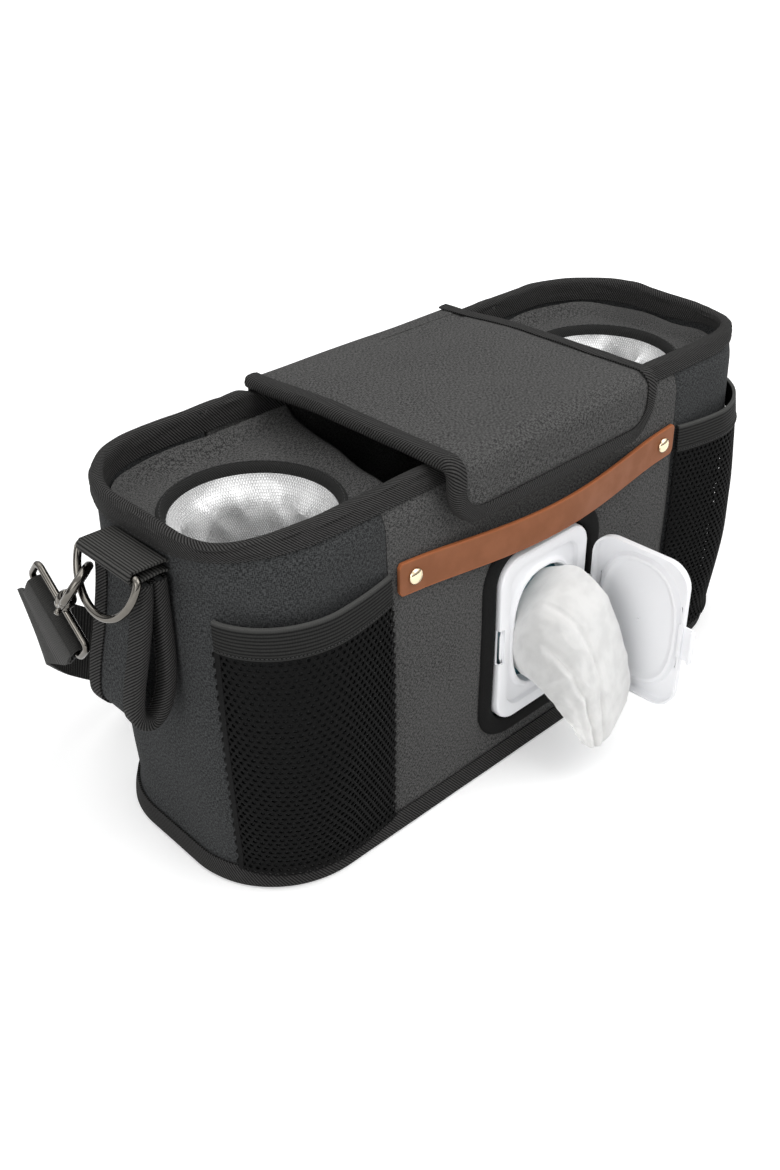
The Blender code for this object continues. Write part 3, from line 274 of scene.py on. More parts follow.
def block(name: str, size: tuple[float, float, float] | Vector,
          centre: tuple[float, float, float] | Vector, edge: float = 0.0) -> bpy.types.Object:
    """A box, with rounded edges where an edge is given.

    Args:
        name: Name of the object.
        size: Its size along each axis.
        centre: Its centre.
        edge: Radius of its edges.

    Returns:
        The box.
    """
    bm = bmesh.new()
    bmesh.ops.create_cube(bm, size=1, matrix=Matrix.Translation(centre)
                          @ Matrix.Diagonal((*size, 1)))
    if edge:
        bmesh.ops.bevel(bm, geom=bm.edges, offset=edge, segments=3, profile=0.5,
                        affect="EDGES")
    return from_bmesh(name, bm)


def bake(piece: bpy.types.Object) -> bpy.types.Object:
    """Apply an object's modifiers to its mesh.

    Args:
        piece: Object with modifiers.

    Returns:
        The same object, with none left.
    """
    bpy.context.view_layer.update()
    graph = bpy.context.evaluated_depsgraph_get()
    mesh = bpy.data.meshes.new_from_object(piece.evaluated_get(graph),
                                           preserve_all_data_layers=True, depsgraph=graph)
    piece.modifiers.clear()
    piece.data = mesh
    return piece


def smooth(piece: bpy.types.Object, angle: float = 45) -> bpy.types.Object:
    """Shade an object smooth, apart from edges sharper than an angle in degrees.

    Args:
        piece: Object to shade.
        angle: Sharpest edge that stays smooth.

    Returns:
        The same object.
    """
    piece.data.shade_smooth()
    piece.data.set_sharp_from_angle(angle=math.radians(angle))
    return piece


def thicken(piece: bpy.types.Object, thickness: float, offset: float = -1.0,
            even: bool = True) -> None:
    """Give an open surface a thickness.

    Args:
        piece: Open sheet.
        thickness: Thickness wanted.
        offset: -1 for behind its face, 0 for both sides.
        even: Whether slanted faces keep the full thickness.
    """
    modifier = piece.modifiers.new("Thickness", "SOLIDIFY")
    modifier.thickness = thickness
    modifier.offset = offset
    modifier.use_even_offset = even


def soften(piece: bpy.types.Object, width: float, segments: int = 2, angle: float = 40) -> None:
    """Round an object's edges that are sharper than an angle in degrees.

    Args:
        piece: Object with sharp edges.
        width: Width of the rounding.
        segments: Stretches across it.
        angle: Least angle that is rounded.
    """
    modifier = piece.modifiers.new("Edges", "BEVEL")
    modifier.width = width
    modifier.segments = segments
    modifier.limit_method = "ANGLE"
    modifier.angle_limit = math.radians(angle)
    modifier.harden_normals = False


def subtract(piece: bpy.types.Object, cutter: bpy.types.Object) -> None:
    """Cut one object out of another and remove the cutter.

    Args:
        piece: Object that is cut.
        cutter: Closed object.
    """
    modifier = piece.modifiers.new("Cut", "BOOLEAN")
    modifier.operation = "DIFFERENCE"
    modifier.object = cutter
    bake(piece)
    bpy.data.objects.remove(cutter, do_unlink=True)


def unite(name: str, pieces: list[bpy.types.Object]) -> bpy.types.Object:
    """Join several objects into one mesh.

    Args:
        name: Name of the result.
        pieces: Objects, whose transforms are kept in the mesh.

    Returns:
        The joined object.
    """
    bm = bmesh.new()
    bm.loops.layers.uv.new("flat")
    for piece in pieces:
        bpy.context.view_layer.update()
        copy = piece.data.copy()
        copy.transform(piece.matrix_world)
        bm.from_mesh(copy)
        bpy.data.meshes.remove(copy)
        bpy.data.objects.remove(piece, do_unlink=True)
    return from_bmesh(name, bm)


@dataclass
class Sheet:
    """A bent sheet: a grid on a surface that faces u cross v, with its flat size as UVs."""

    name: str
    surface: Surface
    cells: tuple[int, int]
    flat: tuple[float, float]
    thickness: float
    closed: bool = False
    offset: float = -1.0

    def build(self) -> bpy.types.Object:
        """Make the sheet.

        Returns:
            The object, with its thickness applied.
        """
        columns, rows = self.cells
        bm = bmesh.new()
        flat = bm.loops.layers.uv.new("flat")
        count = columns if self.closed else columns + 1
        grid = [[bm.verts.new(self.surface(column / columns, row / rows))
                 for column in range(count)] for row in range(rows + 1)]
        for row in range(rows):
            for column in range(columns):
                after = (column + 1) % count
                face = bm.faces.new((grid[row][column], grid[row][after],
                                     grid[row + 1][after], grid[row + 1][column]))
                corners = ((column, row), (column + 1, row), (column + 1, row + 1),
                           (column, row + 1))
                for loop, (across, along) in zip(face.loops, corners):
                    loop[flat].uv = (self.flat[0] * across / columns,
                                     self.flat[1] * along / rows)
        piece = from_bmesh(self.name, bm)
        if self.thickness:
            thicken(piece, self.thickness, self.offset)
            bake(piece)
        return smooth(piece)


def lathe(name: str, profile: list[tuple[float, float]], steps: int) -> bpy.types.Object:
    """A turned shape about Z.

    Args:
        name: Name of the object.
        profile: (radius, height) points that run down the outer side; ends on the axis close it.
        steps: Stretches round the axis.

    Returns:
        The object, with its turn and its profile length as UVs.
    """
    lengths = line_lengths([Vector((radius, 0, height)) for radius, height in profile])
    around = 2 * math.pi * max(radius for radius, _ in profile)

    def surface(u: float, v: float) -> Vector:
        """Place at a share of the turn and of the profile."""
        radius, height = profile[round(v * (len(profile) - 1))]
        angle = -2 * math.pi * u
        return Vector((radius * math.cos(angle), radius * math.sin(angle), height))

    piece = Sheet(name, surface, (steps, len(profile) - 1), (around, lengths[-1]), 0,
                  closed=True).build()
    with editing(piece) as bm:
        bmesh.ops.remove_doubles(bm, verts=bm.verts, dist=1e-7)
    return smooth(piece, 35)


def wire(name: str, points: list[Vector], radii: list[float] | float, sides: int = 16,
         cyclic: bool = False) -> bpy.types.Object:
    """A round bar along a line.

    Args:
        name: Name of the object.
        points: Centre line, on which no two neighbours meet.
        radii: Radius, the same all along or one for each point.
        sides: Stretches round the bar.
        cyclic: Whether the line closes on itself.

    Returns:
        The object, closed at its ends with domes.
    """
    count = len(points)
    sizes = radii if isinstance(radii, list) else [radii] * count
    turn = Vector((0.3, 0.5, 0.81)).normalized()
    bm = bmesh.new()
    rings = []
    for index, place in enumerate(points):
        before = points[index - 1] if index or cyclic else points[0]
        after = points[(index + 1) % count] if index < count - 1 or cyclic else points[-1]
        run = (after - before).normalized()
        turn = (turn - run * turn.dot(run)).normalized()
        other = run.cross(turn)
        rings.append([bm.verts.new(place + (turn * math.cos(a) + other * math.sin(a))
                                   * sizes[index])
                      for a in (2 * math.pi * k / sides for k in range(sides))])
    pairs = list(zip(rings, rings[1:]))
    if cyclic:
        first, last = rings[0], rings[-1]
        shift = min(range(sides), key=lambda k: (first[k].co - last[0].co).length)
        pairs.append((last, first[shift:] + first[:shift]))
    for low, high in pairs:
        for k in range(sides):
            after = (k + 1) % sides
            bm.faces.new((low[k], low[after], high[after], high[k]))
    if not cyclic:
        for ring, place, run, size in ((rings[0], points[0], points[0] - points[1], sizes[0]),
                                       (rings[-1], points[-1], points[-1] - points[-2],
                                        sizes[-1])):
            run = run.normalized()
            for lift, share in ((0.5, 0.87), (0.85, 0.5)):
                upper = [bm.verts.new(place + (v.co - place) * share + run * size * lift)
                         for v in ring] if share > 0.6 else \
                        [bm.verts.new(place + (v.co - place) * share / 0.87
                                      + run * size * (lift - 0.5)) for v in ring]
                for k in range(sides):
                    after = (k + 1) % sides
                    bm.faces.new((ring[k], ring[after], upper[after], upper[k]))
                ring = upper
            bm.faces.new(ring)
    bmesh.ops.recalc_face_normals(bm, faces=bm.faces)
    return smooth(from_bmesh(name, bm), 60)


@dataclass
class Stitches:
    """A row of sewn threads along a line, each a small rounded bar on the cloth."""

    name: str
    line: list[Edge]
    pitch: float = 3.0 * MM
    length: float = 2.1 * MM
    radius: float = 0.28 * MM

    def build(self) -> bpy.types.Object:
        """Make the row.

        Returns:
            One object with every stitch.
        """
        bm = bmesh.new()
        places = [place for place, _ in self.line]
        lengths = line_lengths(places)
        count = max(1, int(lengths[-1] / self.pitch))
        index = 0
        for step in range(count):
            target = lengths[-1] * (step + 0.5) / count
            while index < len(places) - 2 and lengths[index + 1] < target:
                index += 1
            share = (target - lengths[index]) / max(lengths[index + 1] - lengths[index], 1e-9)
            place = places[index].lerp(places[index + 1], share)
            run = (places[index + 1] - places[index]).normalized()
            normal = self.line[index][1].normalized()
            side = run.cross(normal).normalized()
            half = self.length / 2
            for low, high in (((-1, 0.0), (-0.55, 1.0)), ((-0.55, 1.0), (0.55, 1.0)),
                              ((0.55, 1.0), (1, 0.0))):
                ring = []
                for along, lift in (low, high):
                    centre = place + run * half * along + normal * self.radius * (lift - 0.4)
                    ring.append([bm.verts.new(centre + (side * math.cos(a) + normal
                                                        * math.sin(a)) * self.radius)
                                 for a in (math.pi / 3 * k for k in range(6))])
                for k in range(6):
                    after = (k + 1) % 6
                    bm.faces.new((ring[0][k], ring[0][after], ring[1][after], ring[1][k]))
                bm.faces.new(ring[0])
                bm.faces.new(ring[1])
        bmesh.ops.remove_doubles(bm, verts=bm.verts, dist=1e-6)
        bmesh.ops.recalc_face_normals(bm, faces=bm.faces)
        return smooth(from_bmesh(self.name, bm), 70)

    def sew(self, body: str = "root") -> None:
        """Make the row and put it on a body as thread."""
        dress(self.build(), Cloth.THREAD, body=body)


# Shader node groups


class Graph:
    """Adds nodes to a node tree and links them."""

    def __init__(self, tree: bpy.types.NodeTree) -> None:
        """Keep the tree that nodes go into."""
        self.tree = tree

    def add(self, kind: str, **sockets: object) -> bpy.types.Node:
        """Add a node and fill its inputs.

        Args:
            kind: Blender's name of the node type.
            sockets: Value or output socket for an input; names have _ for a space.

        Returns:
            The node.
        """
        node = self.tree.nodes.new(kind)
        for name, value in sockets.items():
            self.fill(node.inputs[name.replace("_", " ")], value)
        return node

    def fill(self, socket: bpy.types.NodeSocket, value: object) -> None:
        """Set an input socket, or link it to an output.

        Args:
            socket: Input to set.
            value: Number, colour or output.
        """
        if isinstance(value, bpy.types.NodeSocket):
            self.tree.links.new(value, socket)
        else:
            socket.default_value = value

    def math(self, operation: str, *values: object, clamp: bool = False) -> bpy.types.NodeSocket:
        """Output of a math node on numbers or sockets.

        Args:
            operation: Blender's name of it.
            values: Numbers or sockets.
            clamp: Whether the result is cut to 0 to 1.

        Returns:
            The output.
        """
        node = self.tree.nodes.new("ShaderNodeMath")
        node.operation = operation
        node.use_clamp = clamp
        for socket, value in zip(node.inputs, values):
            self.fill(socket, value)
        return node.outputs[0]

    def noise(self, vector: object, scale: float, detail: float = 2,
              roughness: float = 0.5) -> bpy.types.NodeSocket:
        """Value of a noise texture.

        Args:
            vector: Coordinates.
            scale: Bumps in a unit.
            detail: Octaves.
            roughness: Weight of the finer ones.

        Returns:
            The output, from 0 to 1.
        """
        node = self.add("ShaderNodeTexNoise", Vector=vector, Scale=scale, Detail=detail,
                        Roughness=roughness)
        return node.outputs["Fac"]

    def stretch(self, vector: object, scale: tuple[float, float, float]) -> bpy.types.NodeSocket:
        """A vector scaled by a different amount along each axis.

        Args:
            vector: Coordinates.
            scale: Factor along each axis.

        Returns:
            The output.
        """
        node = self.tree.nodes.new("ShaderNodeVectorMath")
        node.operation = "MULTIPLY"
        self.fill(node.inputs[0], vector)
        node.inputs[1].default_value = scale
        return node.outputs[0]

    def split(self, vector: object) -> bpy.types.NodeOutputs:
        """X, Y and Z of a vector."""
        return self.add("ShaderNodeSeparateXYZ", Vector=vector).outputs

    def ramp(self, value: object, low: float, high: float) -> bpy.types.NodeSocket:
        """Map low to high onto 0 to 1, smoothly.

        Args:
            value: Number or socket.
            low: Value that gives 0.
            high: Value that gives 1.

        Returns:
            The output.
        """
        node = self.tree.nodes.new("ShaderNodeMapRange")
        node.interpolation_type = "SMOOTHSTEP"
        self.fill(node.inputs["Value"], value)
        node.inputs["From Min"].default_value = low
        node.inputs["From Max"].default_value = high
        return node.outputs["Result"]

    def blend(self, share: object, first: object, second: object) -> bpy.types.NodeSocket:
        """Mix two colours by a share.

        Args:
            share: Share of the second.
            first: Colour or socket.
            second: Colour or socket.

        Returns:
            The colour output.
        """
        node = self.tree.nodes.new("ShaderNodeMix")
        node.data_type = "RGBA"
        self.fill(node.inputs[0], share)
        for socket, value in ((node.inputs[6], first), (node.inputs[7], second)):
            self.fill(socket, (*value, 1.0) if isinstance(value, tuple) else value)
        return node.outputs[2]

    def bump(self, height: object, strength: float, distance: float,
             normal: object = None) -> bpy.types.NodeSocket:
        """Normal of a bump node.

        Args:
            height: Socket with the relief.
            strength: Share of it that shows.
            distance: Height of a full step.
            normal: Normal that it adds to.

        Returns:
            The normal output.
        """
        node = self.add("ShaderNodeBump", Height=height, Strength=strength, Distance=distance)
        if normal is not None:
            self.fill(node.inputs["Normal"], normal)
        return node.outputs["Normal"]


class Effect(Enum):
    """Shader node groups that several finishes share, by name."""

    HEATHER = "heather_threads"
    RIBS = "woven_ribs"
    MOTTLE = "soft_mottle"
    BAND = "edge_band"


class Effects:
    """Builds each shared node group once and places it in materials."""

    def __init__(self) -> None:
        """Start with no groups."""
        self.trees: dict[Effect, bpy.types.NodeTree] = {}

    def place(self, graph: Graph, effect: Effect, **inputs: object) -> bpy.types.NodeOutputs:
        """Put a group into a material.

        Args:
            graph: Graph of the material.
            effect: Group wanted.
            inputs: Values or sockets for its inputs.

        Returns:
            The outputs of the group node.
        """
        if effect not in self.trees:
            maker = {Effect.HEATHER: self.heather, Effect.RIBS: self.ribs,
                     Effect.MOTTLE: self.mottle, Effect.BAND: self.band}[effect]
            self.trees[effect] = maker()
        node = graph.tree.nodes.new("ShaderNodeGroup")
        node.node_tree = self.trees[effect]
        for name, value in inputs.items():
            graph.fill(node.inputs[name.replace("_", " ")], value)
        return node.outputs

    @staticmethod
    def start(effect: Effect, inputs: dict[str, float | None],
              outputs: list[str]) -> tuple[Graph, bpy.types.NodeOutputs, bpy.types.Node]:
        """Open a new group with its sockets.

        Args:
            effect: Group to start.
            inputs: Default of each number input, or None for a vector.
            outputs: Names of its number outputs.

        Returns:
            The group's graph, the sockets of its inputs and its output node.
        """
        tree = bpy.data.node_groups.new(effect.value, "ShaderNodeTree")
        for name, default in inputs.items():
            kind = "NodeSocketVector" if default is None else "NodeSocketFloat"
            socket = tree.interface.new_socket(name, in_out="INPUT", socket_type=kind)
            if default is not None:
                socket.default_value = default
        for name in outputs:
            tree.interface.new_socket(name, in_out="OUTPUT", socket_type="NodeSocketFloat")
        graph = Graph(tree)
        source = tree.nodes.new("NodeGroupInput")
        result = tree.nodes.new("NodeGroupOutput")
        return graph, source.outputs, result

    def heather(self) -> bpy.types.NodeTree:
        """Threads of two shades that run both ways, with flecks.

        Returns:
            Group with Shade and Height outputs.
        """
        graph, given, result = self.start(Effect.HEATHER, {"Vector": None, "Pitch": 0.0006},
                                          ["Shade", "Height"])
        along = graph.noise(graph.stretch(given["Vector"], (700.0, 3000.0, 1.0)), 1.0, 0, 0.5)
        across = graph.noise(graph.stretch(given["Vector"], (3000.0, 700.0, 1.0)), 1.0, 0, 0.5)
        flecks = graph.math("MULTIPLY", graph.math("ADD", along, across), 0.5)
        shade = graph.ramp(flecks, 0.38, 0.62)
        parts = graph.split(given["Vector"])
        turns = [graph.math("MULTIPLY", graph.math("DIVIDE", parts[axis], given["Pitch"]),
                            math.pi) for axis in (0, 1)]
        threads = [graph.math("ABSOLUTE", graph.math("SINE", turn)) for turn in turns]
        weave = graph.math("MULTIPLY", threads[0], threads[1])
        height = graph.math("ADD", graph.math("MULTIPLY", weave, 0.5),
                            graph.math("MULTIPLY", shade, 0.5))
        graph.fill(result.inputs["Shade"], shade)
        graph.fill(result.inputs["Height"], height)
        return graph.tree

    def ribs(self) -> bpy.types.NodeTree:
        """Ribs across a tape at a lean, crossed by finer threads.

        Returns:
            Group with Shade and Height outputs; Shade is lighter on the rib tops and darker in the
            grooves, painted highlight and painted shade.
        """
        graph, given, result = self.start(
            Effect.RIBS, {"Vector": None, "Pitch": 0.002, "Lean": 0.0, "Cross": 0.001},
            ["Shade", "Height"])
        parts = graph.split(given["Vector"])
        tilted = graph.math("ADD", parts[0], graph.math("MULTIPLY", parts[1], given["Lean"]))
        wave = graph.math("SINE", graph.math("MULTIPLY", graph.math("DIVIDE", tilted,
                                                                    given["Pitch"]),
                                             2 * math.pi))
        rounded = graph.math("POWER", graph.math("MULTIPLY_ADD", wave, 0.5, 0.5), 0.7)
        cross = graph.math("SINE", graph.math("MULTIPLY", graph.math("DIVIDE", parts[1],
                                                                     given["Cross"]),
                                              2 * math.pi))
        fine = graph.math("MULTIPLY_ADD", cross, 0.12, 0.12)
        fuzz = graph.noise(graph.stretch(given["Vector"], (1400.0, 1400.0, 1.0)), 1.0, 2)
        height = graph.math("ADD", graph.math("MULTIPLY", rounded, 0.76), fine)
        # Shade: painted highlight on the rib tops and painted shade in the grooves, flecked by the
        # fuzz.
        shade = graph.math("MULTIPLY", rounded, graph.math("MULTIPLY_ADD", fuzz, 0.9, 0.5),
                           clamp=True)
        graph.fill(result.inputs["Shade"], shade)
        graph.fill(result.inputs["Height"], height)
        return graph.tree

    def mottle(self) -> bpy.types.NodeTree:
        """Broad, soft variation, as of dust and handling.

        Returns:
            Group with a Shade output.
        """
        graph, given, result = self.start(Effect.MOTTLE, {"Vector": None, "Scale": 20.0},
                                          ["Shade"])
        node = graph.add("ShaderNodeTexNoise", Vector=given["Vector"], Scale=given["Scale"],
                         Detail=3.0, Roughness=0.55)
        graph.fill(result.inputs["Shade"], graph.ramp(node.outputs["Fac"], 0.3, 0.7))
        return graph.tree

    def band(self) -> bpy.types.NodeTree:
        """Mask of a stretch along both edges of a strip, from its second UV.

        Returns:
            Group with Mask and Upper outputs; Upper, the upper edge alone, carries a painted
            highlight.
        """
        graph, given, result = self.start(
            Effect.BAND, {"Vector": None, "Width": 0.0165, "Band": 0.001}, ["Mask", "Upper"])
        across = graph.split(given["Vector"])[1]
        from_top = graph.math("SUBTRACT", given["Width"], across)
        near = graph.math("MINIMUM", across, from_top)
        mask = graph.math("SUBTRACT", 1.0, graph.math("DIVIDE", near, given["Band"]), clamp=True)
        upper = graph.math("SUBTRACT", 1.0, graph.math("DIVIDE", from_top, given["Band"]),
                           clamp=True)
        graph.fill(result.inputs["Mask"], mask)
        graph.fill(result.inputs["Upper"], upper)
        return graph.tree


EFFECTS = Effects()


# Finishes


@dataclass(frozen=True)
class Finish:
    """What every finish shares: its name, colour, roughness and metal."""

    name: str
    colour: tuple[float, float, float]
    roughness: float = 0.8
    metallic: float = 0.0
    sheen: float = 0.0
    specular: float = 0.5

    def build(self) -> bpy.types.Material:
        """Make the material.

        Returns:
            The material, with its texture linked.
        """
        material = bpy.data.materials.new(f"{self.name}_look")
        material.use_nodes = True
        graph = Graph(material.node_tree)
        shader = material.node_tree.nodes["Principled BSDF"]
        shader.inputs["Base Color"].default_value = (*self.colour, 1.0)
        shader.inputs["Roughness"].default_value = self.roughness
        shader.inputs["Metallic"].default_value = self.metallic
        shader.inputs["Specular IOR Level"].default_value = self.specular
        if self.sheen:
            shader.inputs["Sheen Weight"].default_value = self.sheen
            shader.inputs["Sheen Roughness"].default_value = 0.5
        self.dress(graph, shader)
        return material

    def dress(self, graph: Graph, shader: bpy.types.Node) -> None:
        """Link the texture of this finish to the shader."""

    def flat(self, graph: Graph) -> bpy.types.NodeSocket:
        """Flat coordinates of a sheet, in metres.

        Args:
            graph: Graph of the material.

        Returns:
            The UV output.
        """
        node = graph.tree.nodes.new("ShaderNodeUVMap")
        node.uv_map = "flat"
        return node.outputs["UV"]

    def solid(self, graph: Graph) -> bpy.types.NodeSocket:
        """Coordinates in the piece's own space."""
        return graph.tree.nodes.new("ShaderNodeTexCoord").outputs["Object"]


@dataclass(frozen=True)
class Canvas(Finish):
    """Heather canvas: dark and light threads, faded a little in broad patches."""

    light: tuple[float, float, float] = (0.09, 0.09, 0.09)
    pitch: float = 0.75 * MM

    def dress(self, graph: Graph, shader: bpy.types.Node) -> None:
        """Mix the two thread colours, and raise the threads.

        Args:
            graph: Graph of the material.
            shader: Its Principled BSDF.
        """
        threads = EFFECTS.place(graph, Effect.HEATHER, Vector=self.flat(graph), Pitch=self.pitch)
        patches = EFFECTS.place(graph, Effect.MOTTLE, Vector=self.solid(graph), Scale=28.0)
        colour = graph.blend(threads["Shade"], self.colour, self.light)
        faded = tuple(0.86 * part for part in self.light)
        worn = graph.blend(graph.math("MULTIPLY", patches["Shade"], 0.22), colour, faded)
        graph.fill(shader.inputs["Base Color"], worn)
        graph.fill(shader.inputs["Normal"], graph.bump(threads["Height"], 0.2, 0.25 * MM))


@dataclass(frozen=True)
class Ribbed(Finish):
    """Woven tape, elastic or webbing with ribs: the woven lines show in the colour, with a painted
    highlight on the rib tops and painted shade in the grooves.
    """

    # Colour of the rib tops, a painted highlight.
    light: tuple[float, float, float] = (0.035, 0.035, 0.036)
    pitch: float = 1.9 * MM
    lean: float = 0.6
    cross: float = 0.7 * MM
    relief: float = 0.7 * MM
    turned: bool = False
    # Width of a tape whose upper edge is painted lighter as a highlight, or 0 for none.
    edge: float = 0.0

    def dress(self, graph: Graph, shader: bpy.types.Node) -> None:
        """Set the ribs' colour and relief, with painted highlight on the rib tops and painted
        shade in the grooves, and a painted highlight along the upper edge where the tape has one.

        Args:
            graph: Graph of the material.
            shader: Its Principled BSDF.
        """
        flat = self.flat(graph)
        vector = flat
        if self.turned:
            parts = graph.split(flat)
            vector = graph.add("ShaderNodeCombineXYZ", X=parts[1], Y=parts[0]).outputs[0]
        ribs = EFFECTS.place(graph, Effect.RIBS, Vector=vector, Pitch=self.pitch, Lean=self.lean,
                             Cross=self.cross)
        # Light colour on the rib tops is a painted highlight, the dark one in the grooves painted
        # shade.
        colour = graph.blend(ribs["Shade"], self.colour, self.light)
        # Painted highlight along the tape's upper edge, where light from above catches it.
        if self.edge:
            band = EFFECTS.place(graph, Effect.BAND, Vector=flat, Width=self.edge,
                                 Band=1.6 * MM)
            rim = tuple(min(1.0, 2.6 * part) for part in self.light)
            colour = graph.blend(band["Upper"], colour, rim)
        graph.fill(shader.inputs["Base Color"], colour)
        graph.fill(shader.inputs["Normal"], graph.bump(ribs["Height"], 0.8, self.relief))


@dataclass(frozen=True)
class Plain(Finish):
    """A finely woven or knitted black cloth."""

    grain: float = 900.0
    relief: float = 0.2 * MM

    def dress(self, graph: Graph, shader: bpy.types.Node) -> None:
        """Set a fine grain.

        Args:
            graph: Graph of the material.
            shader: Its Principled BSDF.
        """
        grain = graph.noise(self.solid(graph), self.grain, 2, 0.6)
        light = tuple(2.2 * part for part in self.colour)
        graph.fill(shader.inputs["Base Color"], graph.blend(grain, self.colour, light))
        graph.fill(shader.inputs["Normal"], graph.bump(grain, 0.5, self.relief))


@dataclass(frozen=True)
class Foil(Finish):
    """Insulating foil with a woven net pressed into it."""

    pitch: float = 1.35 * MM

    def dress(self, graph: Graph, shader: bpy.types.Node) -> None:
        """Set the net's relief and its duller lines.

        Args:
            graph: Graph of the material.
            shader: Its Principled BSDF.
        """
        flat = self.flat(graph)
        parts = graph.split(flat)
        waves = []
        for lean in (-0.577, 0.577):
            tilted = graph.math("MULTIPLY_ADD", parts[1], lean, parts[0])
            turn = graph.math("MULTIPLY", graph.math("DIVIDE", tilted, self.pitch),
                              2 * math.pi)
            waves.append(graph.math("SINE", turn))
        level = graph.math("SINE", graph.math("MULTIPLY", graph.math(
            "DIVIDE", parts[1], 0.5 * self.pitch * math.sqrt(3)), 2 * math.pi))
        net = graph.math("ADD", graph.math("ADD", waves[0], waves[1]),
                         graph.math("MULTIPLY", level, 0.6))
        dots = graph.ramp(net, -0.6, 1.4)
        dull = EFFECTS.place(graph, Effect.MOTTLE, Vector=self.solid(graph), Scale=60.0)
        dark = tuple(0.62 * part for part in self.colour)
        graph.fill(shader.inputs["Base Color"], graph.blend(dots, dark, self.colour))
        graph.fill(shader.inputs["Roughness"],
                   graph.math("MULTIPLY_ADD", dull["Shade"], 0.14, self.roughness))
        graph.fill(shader.inputs["Normal"], graph.bump(dots, 0.5, 0.25 * MM))


@dataclass(frozen=True)
class Leather(Finish):
    """Smooth dyed leather with pores, and edges where the dye is brighter."""

    edge_colour: tuple[float, float, float] = (0.5, 0.16, 0.06)
    width: float = 16.5 * MM

    def dress(self, graph: Graph, shader: bpy.types.Node) -> None:
        """Set pores, patches of colour and the brighter edges.

        Args:
            graph: Graph of the material.
            shader: Its Principled BSDF.
        """
        place = self.solid(graph)
        cells = graph.add("ShaderNodeTexVoronoi", Vector=place, Scale=1500.0)
        grain = graph.math("ADD", cells.outputs["Distance"], graph.noise(place, 420.0, 3))
        patches = EFFECTS.place(graph, Effect.MOTTLE, Vector=place, Scale=70.0)
        darker = tuple(0.78 * part for part in self.colour)
        colour = graph.blend(graph.math("MULTIPLY", patches["Shade"], 0.6), self.colour, darker)
        band = EFFECTS.place(graph, Effect.BAND, Vector=self.flat(graph), Width=self.width,
                             Band=1.1 * MM)
        graph.fill(shader.inputs["Base Color"],
                   graph.blend(band["Mask"], colour, self.edge_colour))
        graph.fill(shader.inputs["Roughness"],
                   graph.math("MULTIPLY_ADD", patches["Shade"], 0.12, self.roughness))
        graph.fill(shader.inputs["Normal"], graph.bump(grain, 0.25, 0.12 * MM))


@dataclass(frozen=True)
class Moulded(Finish):
    """Moulded or cast surface: plastic, plated metal or film, with slight unevenness."""

    patch: float = 30.0
    change: float = 0.94
    relief: float = 0.03 * MM
    rough_change: float = 0.08

    def dress(self, graph: Graph, shader: bpy.types.Node) -> None:
        """Set broad patches in colour, roughness and relief.

        Args:
            graph: Graph of the material.
            shader: Its Principled BSDF.
        """
        place = self.solid(graph)
        patches = EFFECTS.place(graph, Effect.MOTTLE, Vector=place, Scale=self.patch)
        other = tuple(self.change * part for part in self.colour)
        graph.fill(shader.inputs["Base Color"],
                   graph.blend(patches["Shade"], self.colour, other))
        graph.fill(shader.inputs["Roughness"],
                   graph.math("MULTIPLY_ADD", patches["Shade"], self.rough_change,
                              self.roughness))
        graph.fill(shader.inputs["Normal"],
                   graph.bump(graph.noise(place, 8 * self.patch, 2), 0.3, self.relief))


@dataclass(frozen=True)
class Tissue(Finish):
    """Damp nonwoven cloth: pressed fibres that let some light through."""

    def build(self) -> bpy.types.Material:
        """Make the material with light passing through it.

        Returns:
            The material.
        """
        material = super().build()
        shader = material.node_tree.nodes["Principled BSDF"]
        shader.inputs["Subsurface Weight"].default_value = 0.35
        shader.inputs["Subsurface Radius"].default_value = (0.006, 0.006, 0.006)
        shader.inputs["Subsurface Scale"].default_value = 1.0
        return material

    def dress(self, graph: Graph, shader: bpy.types.Node) -> None:
        """Set the fibres.

        Args:
            graph: Graph of the material.
            shader: Its Principled BSDF.
        """
        flat = self.flat(graph)
        fibres = graph.noise(graph.stretch(flat, (900.0, 250.0, 1.0)), 1.0, 4, 0.7)
        wet = graph.noise(flat, 90.0, 3)
        damp = tuple(0.9 * part for part in self.colour)
        graph.fill(shader.inputs["Base Color"],
                   graph.blend(graph.ramp(wet, 0.35, 0.7), self.colour, damp))
        graph.fill(shader.inputs["Normal"], graph.bump(fibres, 0.35, 0.25 * MM))


FINISHED: dict[str, bpy.types.Material] = {}


